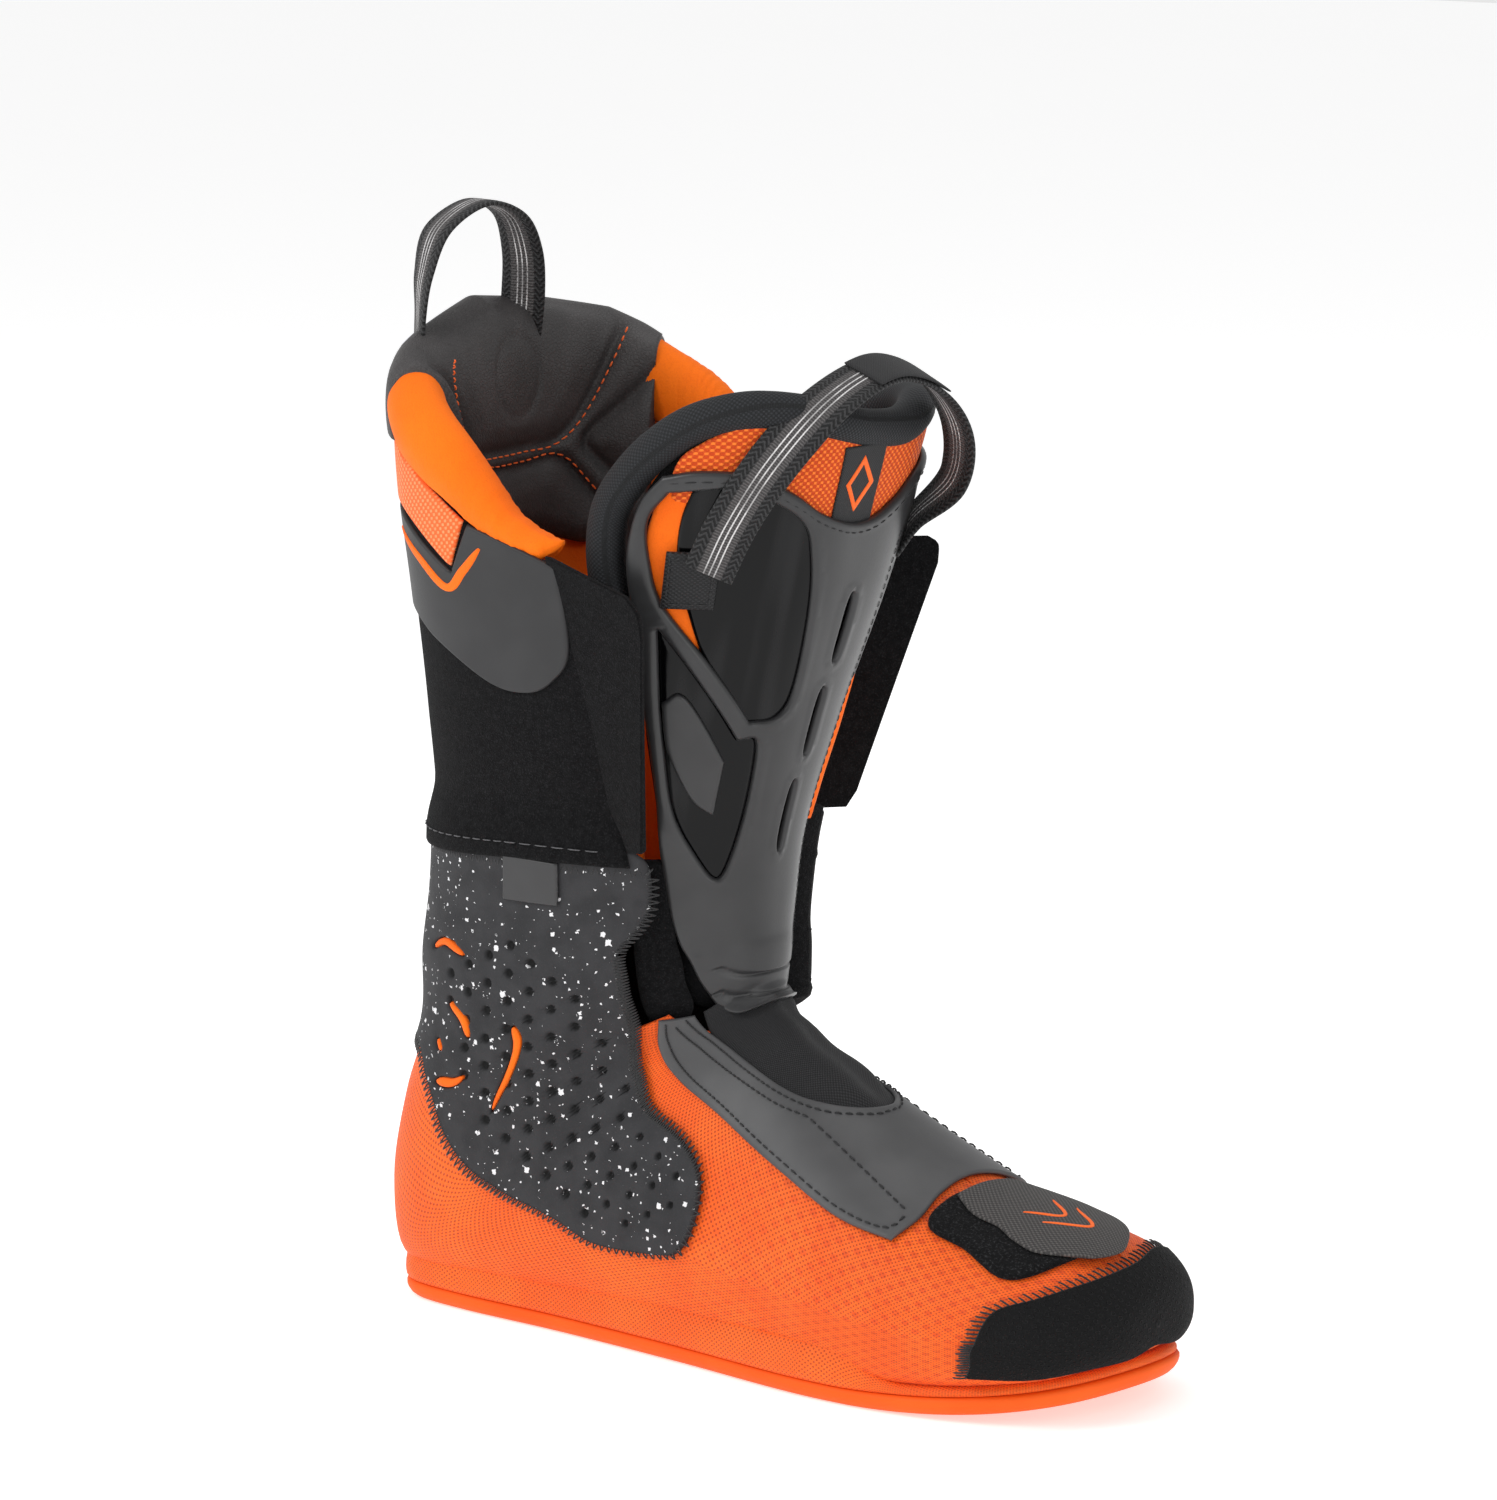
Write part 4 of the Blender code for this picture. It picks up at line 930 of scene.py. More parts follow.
SOLE = [(1.2, 0), (4, -16), (14, -28), (38, -33), (80, -36), (130, -42), (185, -50), (225, -49),
        (255, -41), (274, -25), (283, 2), (280, 23), (266, 37), (240, 45), (205, 46), (165, 41),
        (120, 37), (80, 34), (38, 33), (14, 28), (4, 16)]


def sole_spring(x):
    """Height of the sole's bottom at x mm from the origin."""
    ahead = np.maximum(x - TOE_SPRING_START, 0.0) / TOE_SPRING_LENGTH
    return TOE_SPRING * ahead ** 2


def sole_loop():
    """The sole's outline and the directions in from it."""
    loop = rounded_loop(np.array(SOLE, float), [False] * len(SOLE), 2.5)
    return loop, inwards_of(loop)


def sole_ring(loop, inwards, inset, height):
    """The outline moved in and up, lifted at the toe."""
    flat = loop + inwards * np.asarray(inset).reshape(-1, 1)
    return np.stack([flat[:, 0], flat[:, 1], height + sole_spring(flat[:, 0] - HEEL_TO_ORIGIN)], 1)


# Profiles (distance in from the outline, height) of the sole's edge and of the knit above it.
SOLE_PROFILE = [(14.0, 0.6), (9.0, 0.1), (6.0, 0.0), (4.0, 0.4), (2.8, 1.3), (1.9, 2.6), (1.5, 3.8),
                (1.5, 4.8), (2.0, 5.6), (3.2, 6.0), (5.0, SOLE_TOP), (9.0, SOLE_TOP)]
SKIRT_PROFILE = [(3.0, 5.9), (2.0, 6.2), (1.4, 7.0), (1.1, 8.6), (1.2, 11.2), (1.7, 14.2), (3.0, 17.2),
                 (5.2, 18.9), (7.5, 16.0), (7.5, 7.5)]
SKIRT_FOOT = 6.1                # height that the skirt is squeezed towards round the toe


def make_sole():
    """Moulded sole: thin and round-edged."""
    loop, inwards = sole_loop()
    rings = [sole_ring(loop, inwards, inset, height) for inset, height in SOLE_PROFILE]
    around = len(loop)
    points = np.concatenate(rings)
    faces = ring_faces(len(rings), around)
    for ring, (inset, height) in ((0, SOLE_PROFILE[0]), (len(rings) - 1, SOLE_PROFILE[-1])):
        flat, triangles, _ = fill([loop + inwards * inset], 6.0)
        more = flat[around:]
        start = len(points)
        lifted = height + sole_spring(more[:, 0] - HEEL_TO_ORIGIN)
        points = np.concatenate([points, np.stack([more[:, 0], more[:, 1], lifted], 1)])
        for triangle in triangles:
            indices = [ring * around + i if i < around else start + i - around for i in triangle]
            faces.append(tuple(indices if ring else reversed(indices)))
    add_piece("sole", points, outward_faces(points, faces), SOLE_FOAM, ["outsole"])


def make_knit_skirt():
    """The knit's lowest band, drawn in to the sole; it stays low round the toe."""
    loop, inwards = sole_loop()
    low = smooth_step(loop[:, 0], 196, 222)
    rings = []
    for inset, height in SKIRT_PROFILE:
        squat = SKIRT_FOOT + (height - SKIRT_FOOT) * (1 - 0.72 * low)
        rings.append(sole_ring(loop, inwards, inset + 1.2 * low, squat))
    around, levels = len(loop), len(rings)
    points = np.concatenate(rings)
    faces = outward_faces(points, ring_faces(levels, around, closed=True))
    heights = np.repeat([height for _, height in SKIRT_PROFILE], around)
    chart_at = np.stack([np.tile(np.arange(around) * TAPE_STEP + 150, levels), heights], axis=1)
    add_piece("knit_skirt", points, faces, KNIT, body="liner", chart_at=chart_at)


FOOT_FOAM = [(2, 0.2, 1), (60, 0.2), (200, 0.2, 1), (214, 20), (236, 38), (262, 50), (290, 57),
             (322, 59), (342, 57, 1), (342, 120), (342, 179.8, 1), (180, 179.8), (2, 179.8, 1)]
KNIT_OUTLINE = [(2, 0.2, 1), (60, 0.2), (186, 0.2, 1), (204, 20), (238, 35), (261, 42, 1), (266, 56, 1),
                (300, 64), (330, 74, 1), (330, 120), (330, 179.8, 1), (180, 179.8), (2, 179.8, 1)]
FOOTBED = [(34, 146), (60, 140), (100, 139), (150, 140), (190, 142), (214, 150), (219, 180),
           (214, 210), (190, 218), (150, 220), (100, 221), (60, 220), (34, 214), (27, 180)]


def make_foot():
    """Foam lining, knitted skin and insole of the foot."""
    slices = ["toe", "ball", "instep", "heel", "ankle"]
    both_sides("foot_lining", FOOT_FOAM, (-9.8, -2.0), LINING_BLACK,
               [f"foot_foam_{name}" for name in slices], pad=0.7, step=4.0, edge=1.6)
    both_sides("knit_skin", KNIT_OUTLINE, (-1.4, -0.2), KNIT, ["knit_upper"], step=3.0, edge=0.5)
    panel("insole", FOOTBED, (-14.0, -10.6), FELT, ["footbed"], step=4.0, edge=1.5)


ANKLE = [(358, 179.8, 1), (358, 136), (361, 75), (362, 54, 1), (357, 49), (345, 48), (333, 52),
         (322, 56), (297, 55), (265, 52), (230, 54), (209, 58), (185, 60), (171, 67), (167, 81),
         (172, 92), (192, 101), (211, 97), (241, 99), (262, 108), (283, 119), (297, 135),
         (303, 179.8, 1)]
VENTS = [
    ([(294, 86), (285, 84), (274, 86), (263, 91)], 1.05),
    ([(327, 126), (329, 118), (325, 107)], 1.3),
    ([(309, 116), (302, 108), (294, 103)], 1.15),
    ([(283, 115), (280, 108), (280, 103)], 1.5),
    ([(297, 119), (292, 115)], 0.8),
]
PIT_AREA = [(40, 112), (44, 126), (62, 130), (82, 127), (97, 110), (107, 90), (124, 72), (134, 58),
            (136, 44), (120, 40), (98, 42), (80, 50), (62, 62), (48, 80)]
PIT_PITCH = 9.6                 # mm between pits
PIT_TURN = 26.0                 # degrees by which their rows lean
PIT_ORIGIN = (40.0, 60.0)       # x and z of one pit of the grid


def pit_centres():
    """Centres (x, z) and radii of the pits, on a leaning staggered grid."""
    turn = math.radians(PIT_TURN)
    turned = np.array([[math.cos(turn), -math.sin(turn)], [math.sin(turn), math.cos(turn)]])
    numbers = range(-12, 24)
    spots = [((i + 0.5 * (j % 2)) * PIT_PITCH, j * PIT_PITCH * 0.82) for i in numbers for j in numbers]
    spots = np.array(spots) @ turned.T + np.array(PIT_ORIGIN)
    spots = spots[inside(np.array(PIT_AREA, float), spots)]
    radii = 2.0 - 0.6 * smooth_step(spots[:, 0], 75, 125)
    return spots, radii


def pit_marks(chart, spots, radii, sign):
    """Mesh points round each pit, in the chart, found by looking the pits up on the surface."""
    us, vs = np.meshgrid(np.arange(165, 345, 0.75), np.arange(50, 150, 0.75), indexing="ij")
    flat = np.stack([us.ravel(), sign * vs.ravel() * MM_PER_DEGREE], axis=1)
    seen = chart.place(flat, 1.9)[:, [0, 2]]
    marks = []
    for spot, radius in zip(spots, radii):
        near = flat[np.linalg.norm(seen - spot, axis=1).argmin()]
        around = np.array([near, near + [0.5, 0], near + [0, 0.5]])
        where = chart.place(around, 1.9)[:, [0, 2]]
        slope = np.stack([where[1] - where[0], where[2] - where[0]], axis=1) / 0.5
        if abs(np.linalg.det(slope)) < 0.05:
            continue
        back = np.linalg.inv(slope)
        middle = near + back @ (spot - where[0])
        for share, count in ((0.0, 1), (0.6, 8), (0.95, 12), (1.3, 12)):
            angles = np.linspace(0, 2 * math.pi, count, endpoint=False) + share
            ring = np.stack([np.cos(angles), np.sin(angles)], axis=1) * radius * share
            marks.append(middle + ring @ back.T)
    return marks


def nearest_pit(spots, radii, world):
    """Distance of each point to the nearest pit's middle, as a share of its radius."""
    gaps = np.linalg.norm(world[:, None, [0, 2]] - spots, axis=2) / radii
    return gaps.min(1)


def band(points, half_width, steps=6):
    """Outline of a curved band with round ends round a line of (u, v) points."""
    path = smooth_path([(u, v * MM_PER_DEGREE) for u, v in points], steps)
    side = -right_of(unit(np.gradient(path, axis=0)))
    share = np.linspace(-1, 1, len(path))
    width = half_width * np.sqrt(np.clip(1 - np.abs(share) ** 4, 0.08, 1))[:, None]
    left, right = path + side * width, path - side * width
    loop = np.concatenate([left, right[::-1]])
    return [(p[0], p[1] / MM_PER_DEGREE) for p in loop]


def make_ankle():
    """Flecked foam panels with pits and vents, and orange foam that bulges in the vents."""
    spots, radii = pit_centres()

    def relief(flat, to_edge, world):
        return -1.2 * (1 - smooth_step(nearest_pit(spots, radii, world), 0.66, 1.02))

    def mask(flat, to_edge, world):
        return {"pit": 1 - smooth_step(nearest_pit(spots, radii, world), 0.74, 1.0)}

    for side, sign in SIDES:
        shape = ANKLE if sign > 0 else mirrored(ANKLE)
        vents = [band(on_side(line, sign), width) for line, width in VENTS]
        panel(f"ankle_foam_{side}", shape, (0.6, 2.1), FLECKED, [f"ankle_panel_{side}"], holes=vents,
              step=FINE_STEP, edge=0.8, relief=relief, marks=pit_marks(BODY, spots, radii, sign), mask=mask)
        for number, vent in enumerate(vents):
            panel(f"vent_{side}_{number + 1}", shrunk_outline(vent, 0.96), (-0.1, 1.9), LINING_ORANGE,
                  body="liner", step=0.9, edge=0.8)
        line = outline_loop(BODY, shape, 1.0)
        away = line[line[:, 0] < 356]
        if sign < 0:
            away = away[::-1]
        start = int(np.argmax(np.linalg.norm(np.diff(away, axis=0), axis=1))) + 1
        away = np.roll(away, -start, axis=0)
        threads(f"ankle_overlock_{side}", BODY, zigzag(away, 3.6, 2.2), 1.75, 0.28, BLACK_THREAD, "liner")


TOE_CAP = [(12, 180), (17, 150), (29, 133), (46, 127), (66, 123, 1), (64, 97), (59, 72), (46, 58), (34, 29),
           (32, 0), (38, -30), (46, -58), (60, -75), (66, -100), (68, -123, 1), (46, -127), (29, -133),
           (17, -150)]
LOOP_PATCH = [(92, 36), (94, 21), (92, 0), (92, -16), (88, -24), (77, -27), (61, -30), (50, -26),
              (44, -12), (43, 4), (45, 26), (52, 45), (61, 50), (77, 40)]
OVERLAY = [(263, 45, 1), (250, 34, 1), (200, 29), (160, 27), (143, 21), (133, 8), (132, -8), (142, -24),
           (160, -29), (200, -31), (250, -35, 1), (263, -45, 1), (238, -46), (204, -47), (178, -48),
           (145, -52), (120, -54), (100, -50, 1), (96, -35), (97, -19), (98, 0), (97, 19), (96, 35),
           (100, 50, 1), (120, 54), (145, 52), (178, 48), (204, 47), (238, 46)]
GUSSET = [(247, 31, 1), (200, 31.5), (160, 29.5), (141, 23), (130, 9), (129, -8), (140, -26), (160, -31.5),
          (200, -33.5), (247, -32, 1), (250, 0)]
TOE_TAB = [(92, 17, 1), (91, 0), (89, -14, 1), (77, -20), (60, -22), (46, -17), (39, -5), (37, 8),
           (41, 24), (53, 33), (64, 30), (72, 25), (82, 23)]
TAB_CHEVRONS = [[(70, 12), (60, 2), (70, -8)], [(62, 14), (50, 2), (62, -10)]]


def make_toe():
    """Toe cap with its blanket stitches, the pile patch and the hook tab on it."""
    panel("toe_cap_skin", TOE_CAP, (0.4, 2.0), TOE_TEXTURE, ["toe_cap"], chart=TOE, step=2.0, edge=1.0)
    panel("loop_patch", LOOP_PATCH, (0.6, 2.1), LOOP_PATCH_PILE, ["toe_loop_patch"], step=1.8, edge=1.0)
    panel("hook_tab", TOE_TAB, (2.7, 3.8), HOOK_TAB, ["toe_tab"], step=1.8, edge=0.5)
    for number, line in enumerate(TAB_CHEVRONS):
        panel(f"tab_chevron_{number + 1}", band(line, 0.7, 8), (3.4, 4.05), ORANGE_PRINT, body="toe_closure",
              step=0.8, edge=0.2)
    upper_edge = smooth_path(flat_toe(TOE_CAP[4:15]), 8)
    stitches = blanket(upper_edge[::-1], 4.2, 2.6)
    threads("toe_blanket_stitch", TOE, stitches, 0.9, 0.32, BLACK_THREAD, "liner")


OVERLAY_SEAMS = [
    [(258, 43), (238, 43), (204, 44), (178, 45), (145, 49), (120, 51), (103, 47), (100, 38)],
    [(252, 37), (226, 33.5), (200, 31.5), (160, 30), (140, 23.5), (130, 9), (129, 0)],
    [(250, 40), (226, 37), (200, 35.5), (160, 34), (143, 30)],
    [(143, 30), (128, 31.5), (112, 34), (101, 36)],
]


def make_instep():
    """Smooth overlay with its seams, and the stretch gusset in its opening."""
    def folds(flat, to_edge, world):
        fold = 0.9 * np.cos((flat[:, 1] - 5.0) / 21.0 * 2 * math.pi)
        wrinkle = 0.35 * np.sin(flat[:, 0] / 5.5 + 1.3 * np.sin(flat[:, 1] / 6.0))
        return (0.9 + fold + wrinkle) * smooth_step(to_edge, 2.5, 8.5)

    panel("overlay", OVERLAY, (0.7, 2.0), OVERLAY_SHEET, ["instep_overlay"], edge=0.6)
    panel("gusset", GUSSET, (-0.7, 0.5), GUSSET_CLOTH, ["instep_gusset"], edge=0.8, relief=folds)
    for side, sign in SIDES:
        for number, line in enumerate(OVERLAY_SEAMS):
            path = smooth_path(flat_body(on_side(line, sign)), 8)
            threads(f"overlay_stitch_{side}_{number + 1}", BODY, running(path, 2.3, 1.0), 2.1, 0.34,
                    BLACK_THREAD, "liner")


# ---------------------------------------------------------------- cuff

CUFF_TOP = [(446, 86), (462, 102), (484, 129), (496, 150), (507, 179.8, 1)]
CUFF_TOP_INNER = [(464, 83), (477, 92), (483, 102), (497, 129), (503, 150), (507, 179.8, 1)]
CUFF_FOAM_FRONT = [(342.2, 57, 1), (360, 58), (397, 69), (429, 75), (441, 78, 1)]
CUFF_FOAM_REAR = [(420, 179.8), (342.2, 179.8, 1)]
CUFF_WRAP_LOW = [(355, 179.8, 1), (355, 136), (357, 87), (357, 54, 1), (397, 64), (429, 71), (441, 75, 1)]
CUFF_FILM = [(452, 76.5, 1), (426, 73.5), (416, 77), (411, 84), (413, 97), (424, 119), (433, 140),
             (437, 179.8, 1), (466, 179.8, 1), (466, 150), (462, 133), (447, 110, 1), (463, 102.5, 1),
             (458, 88)]
CUFF_MESH = [(449, 110, 1), (464, 130), (469, 150), (469, 179.8, 1), (503, 179.8, 1), (492, 150),
             (482, 129), (464, 104, 1)]
CUFF_MESH_INNER = [(449, 110, 1), (464, 130), (469, 150), (469, 179.8, 1), (503, 179.8, 1), (499, 150),
                   (495, 129), (481, 106, 1)]
CHEVRON_LINE = [(458, 137), (450, 124), (442, 112), (448, 105), (456, 98)]
THROAT_GUSSET = [(358, 55, 1), (330, 52), (300, 51), (266, 47), (246, 40, 1), (258, 33), (290, 35),
                 (320, 37), (358, 42, 1)]
SIZE_LABEL = [(358, 91, 1), (357, 74, 1), (344.5, 73.5, 1), (345, 90.5, 1)]
CALF_PAD = [(438, 150, 1), (446, 180), (438, 210, 1), (428, 212), (392, 190), (384, 180),
            (392, 170), (428, 148)]
HEM_STITCHES = [(360, 176), (360, 136), (362, 87), (362, 62)]


def hem_flare(flat):
    """The cuff's lower hem stands out over the ankle panels."""
    return 3.4 * (1 - smooth_step(flat[:, 0], 359, 376))


def make_cuff():
    """Foam, pile, film and mesh of the cuff, with its chevrons, hem stitches, label and calf cushion."""
    both_sides("cuff_lining", CUFF_FOAM_FRONT + CUFF_TOP + CUFF_FOAM_REAR, (-10.0, -1.6), LINING_ORANGE,
               ["cuff_foam"], CUFF_FOAM_FRONT + CUFF_TOP_INNER + CUFF_FOAM_REAR, 0.7, step=3.0, edge=2.0)
    both_sides("cuff_pile", CUFF_WRAP_LOW + CUFF_TOP, (-1.3, 0.3), PILE, ["cuff_wrap"],
               CUFF_WRAP_LOW + CUFF_TOP_INNER, step=2.6, edge=0.8, lift=hem_flare)
    both_sides("cuff_film_skin", CUFF_FILM, (0.2, 1.5), FILM, ["cuff_film"], step=2.0, edge=0.5)
    both_sides("cuff_mesh_skin", CUFF_MESH, (0.2, 1.7), SALMON, ["cuff_mesh"], CUFF_MESH_INNER, step=2.0,
               edge=0.5)
    both_sides("throat_pile", THROAT_GUSSET, (-6.5, -3.6), PILE, ["throat_gusset"], step=2.4, edge=1.0)
    panel("size_tag", SIZE_LABEL, (2.7, 3.5), TAG_SATIN, ["size_label"], step=1.5, edge=0.3)
    cushion = panel("calf_cushion", CALF_PAD, (-15.5, -10.9), LEATHER, ["calf_pad"], step=2.4, edge=2.5)
    for side, sign in SIDES:
        line = band(on_side(CHEVRON_LINE, sign), 1.3)
        panel(f"chevron_{side}", line, (1.2, 1.9), LINING_ORANGE, body="liner", step=0.9, edge=0.3)
        path = smooth_path(flat_body(on_side(HEM_STITCHES, sign)), 12)
        threads(f"hem_stitch_{side}", BODY, running(path, 2.6, 1.0), 3.75, 0.22, GREY_THREAD, "liner")


def roll_rings(centres, outwards, radii, around):
    """Round rings along a path."""
    rings = []
    for i, centre in enumerate(centres):
        ahead = unit(centres[min(i + 1, len(centres) - 1)] - centres[max(i - 1, 0)])
        out = unit(outwards[i] - ahead * np.dot(outwards[i], ahead))
        up = np.cross(ahead, out)
        angles = np.linspace(0, 2 * math.pi, around, endpoint=False)
        rings.append(np.array([centre + radii[i] * (math.cos(a) * out + math.sin(a) * up) for a in angles]))
    return rings


def tapered(count, radius, ends):
    """Radii that swell quickly from each end."""
    marks = np.arange(count)
    share = np.minimum(marks, marks[::-1]) / ends
    return radius * np.clip(np.sqrt(np.clip(share, 0, 1)), 0.3, 1.0)


# Sections (u from the rim, distance outwards) of the collar at full width and of the spoiler pad.
COLLAR_SECTION = [(-21, 0.6), (-18, 2.2), (-12, 3.4), (-6, 2.6), (-1.4, -0.6), (0.3, -4.8), (-0.8, -9.2),
                  (-5, -12.4), (-11, -13.6), (-18, -12.8), (-23, -10.6), (-17, -8.4), (-16, -3.0)]
COLLAR_WIDTHS = {
    1: ([76, 86, 102, 116, 140], [0.28, 0.5, 0.84, 0.98, 1.05]),
    -1: ([80, 90, 116], [0.8, 1.0, 1.1]),
}
COLLAR_SPANS = {"lateral": (1, 76.5, 140.0), "medial": (-1, 81.0, 119.0)}
SPOILER_SECTION = [(-22, 2.2), (-21, 3.6), (-12, 4.0), (-4, 3.0), (0.5, 0.0), (2.2, -4.5), (0.5, -9.0),
                   (-5, -13), (-14, -15.4), (-24, -16.2), (-38, -16.2), (-56, -15.8), (-70, -14.6),
                   (-74, -12.4), (-66, -10.9), (-50, -10.8), (-30, -10.8), (-16, -10.6), (-13.5, -8),
                   (-14, 0.5), (-18, 1.6)]
SPOILER_SPAN = (135.5, 245.5)
# Seams on the spoiler's inner face, as (u, v) with v past 180 on the inner side.
SEAM_UPPER = [(512, 134), (506, 142), (492, 151), (478, 161), (476.5, 175), (477, 195), (478, 209),
              (486, 219), (504, 229), (515, 234)]
SEAM_LOWER = [(455, 138), (464, 149), (471.5, 160), (470.5, 175), (471, 195), (472, 211), (463, 222),
              (453, 232)]
SEAM_WING = [(500, 246), (489, 234), (478, 222), (471, 227), (462, 238)]
SEAM_POINT = [(449, 190), (446, 206), (441, 221), (449, 233)]
EMBLEM_CENTRE, EMBLEM_SIZE = (500.0, 187.0), (13.0, 13.5)


def sweep_section(section, angles, tops, scales, swell):
    """Rings of a closed section carried round the rim. swell moves each point out of the section."""
    dense = rounded_loop(np.array(section, float), [False] * len(section), 1.6)
    away = -inwards_of(dense)
    middle = np.array([0.0, dense[:, 1].mean()])
    rings = []
    for angle, top, (along, through) in zip(angles, tops, scales):
        shape = middle + (dense - middle) * np.array([along, through])
        turned = np.full(len(shape), angle)
        shape = shape + away * swell(top + shape[:, 0], turned, shape[:, 1])[:, None]
        rings.append(at_depth(top + shape[:, 0], turned, shape[:, 1]))
    return rings


def make_collar():
    """Soft rolled edge of the cuff, wide at the rear and narrow at the flap, with small puckers."""
    def puckers(u, v, depth):
        return 0.35 * np.sin(v * 1.9 + u * 0.25) * np.sin(v * 0.83 + 1.0) * smooth_step(np.abs(v), 118, 84)

    for side, (sign, start, stop) in COLLAR_SPANS.items():
        angles = np.linspace(start, stop, 70)
        ends = np.sqrt(np.clip((angles - start + 0.15) / 5.0, 0.02, 1))
        width = np.interp(angles, *COLLAR_WIDTHS[sign]) * ends
        scales = np.stack([width, np.minimum(1.0, 0.45 + 0.55 * width) * ends], axis=1)
        tops = np.interp(angles, *RIMS[sign])
        tops = np.convolve(np.pad(tops, 6, mode="edge"), np.ones(13) / 13, mode="valid")
        rings = sweep_section(COLLAR_SECTION, sign * angles, tops, scales, puckers)
        points, faces = closed_tube(rings)
        piece = add_piece(f"collar_roll_{side}", points, faces, COLLAR_KNIT, [f"collar_{side}"])


def spoiler_swell(u, v, depth):
    """Puffed fields between the seams of the spoiler's inner face, and its oval emboss."""
    inner = smooth_step(-depth, 8.5, 12.5)
    flat = np.stack([u, v * MM_PER_DEGREE], axis=1)
    seams = [smooth_path(flat_body(line), 6) for line in (SEAM_UPPER, SEAM_LOWER, SEAM_WING, SEAM_POINT)]
    gap = np.min([distance_to(seam, flat, closed=False) for seam in seams], axis=0)
    puff = 2.0 * smooth_step(gap, 0.0, 9.0) - 1.9 * np.exp(-(gap / 1.3) ** 2)
    oval = np.hypot((u - EMBLEM_CENTRE[0]) / EMBLEM_SIZE[0], (v - EMBLEM_CENTRE[1]) / EMBLEM_SIZE[1])
    stamp = -0.7 * np.exp(-((oval - 1) / 0.1) ** 2) - 0.3 * (1 - smooth_step(oval, 0.85, 1.0))
    return inner * (puff + stamp)


def spoiler_chart(depth_of_face):
    """Chart of the spoiler's inner face: distances count from it towards the leg."""
    def place(points, depth):
        u, v = points[:, 0], points[:, 1] / MM_PER_DEGREE
        face = np.full(len(points), -depth_of_face)
        return at_depth(u, v, face - spoiler_swell(u, v, face) - depth)
    return Chart(flat_body, place)


def make_spoiler():
    """Padded cap over the rear of the rim: a skirt outside and a stitched pad inside."""
    angles = np.linspace(*SPOILER_SPAN, 170)
    tops = [np.interp(min(angle, 360 - angle), *RIMS[1 if angle <= 180 else -1]) for angle in angles]
    from_end = np.minimum(angles - SPOILER_SPAN[0], SPOILER_SPAN[1] - angles) / 3.5
    share = 0.86 + 0.14 * np.sqrt(np.clip(from_end, 0, 1))
    scales = np.stack([np.ones_like(share), share], axis=1)
    rings = sweep_section(SPOILER_SECTION, angles, tops, scales, spoiler_swell)
    points, faces = closed_tube(rings)
    piece = add_piece("spoiler", points, faces, LEATHER, ["spoiler_pad"])
    chart = spoiler_chart(16.0)
    for number, line in enumerate((SEAM_UPPER, SEAM_LOWER)):
        path = smooth_path(flat_body(line), 10)
        beside = path + right_of(unit(np.gradient(path, axis=0))) * (1.5 if number else -1.5)
        stitches = running(beside, 1.9, 1.1)
        threads(f"spoiler_stitch_{number + 1}", chart, stitches, 0.1, 0.3, ORANGE_THREAD, "liner")


LATERAL_FLAP = [(101.5, -58, 254), (115, -40.5, 165), (122, -43, 165), (135, -60, 244)]
MEDIAL_FLAP = [(102, 57.5, 248), (115, 40.5, 165), (130, 57, 163), (147, 87, 249)]
FLAP_OUTLINES = {
    "lateral": [(-0.03, -0.9, 1), (-0.03, 1, 1), (0.5, 1), (0.86, 1, 1), (0.95, 0.95), (1, 0.8, 1),
                (1, -0.15, 1), (0.5, -0.3)],
    "medial": [(-0.03, -0.25, 1), (0, 0.93, 1), (0.06, 1, 1), (0.5, 1), (0.9, 1, 1), (0.97, 0.96),
               (1, 0.88, 1),
               (1, -0.12, 1)],
}
FLAP_SIZE = (88.0, 32.0)        # mm along and across the seam
FLAP_HINGE = np.array([(44.0, -3.0), (44.0, 6.0)])      # across this strip a flap bends


def flap_chart(corners):
    """Chart of a flap: a four-cornered patch, x along its seam and y across it."""
    seam_top, seam_low, free_low, free_top = [np.array(corner, float) for corner in corners]

    def flatten(outline):
        return np.array([[row[0] * FLAP_SIZE[0], row[1] * FLAP_SIZE[1]] for row in outline], float)

    def place(points, depth):
        along = (points[:, 0] / FLAP_SIZE[0])[:, None]
        across = (points[:, 1] / FLAP_SIZE[1])[:, None]
        seam = seam_low + (seam_top - seam_low) * along
        free = free_low + (free_top - free_low) * along
        up = (seam_top - seam_low) * (1 - across) + (free_top - free_low) * across
        normal = unit(np.cross(up, free - seam))
        depth = np.broadcast_to(np.asarray(depth, float), (len(points),))
        return seam + (free - seam) * across + normal * depth[:, None]
    return Chart(flatten, place)


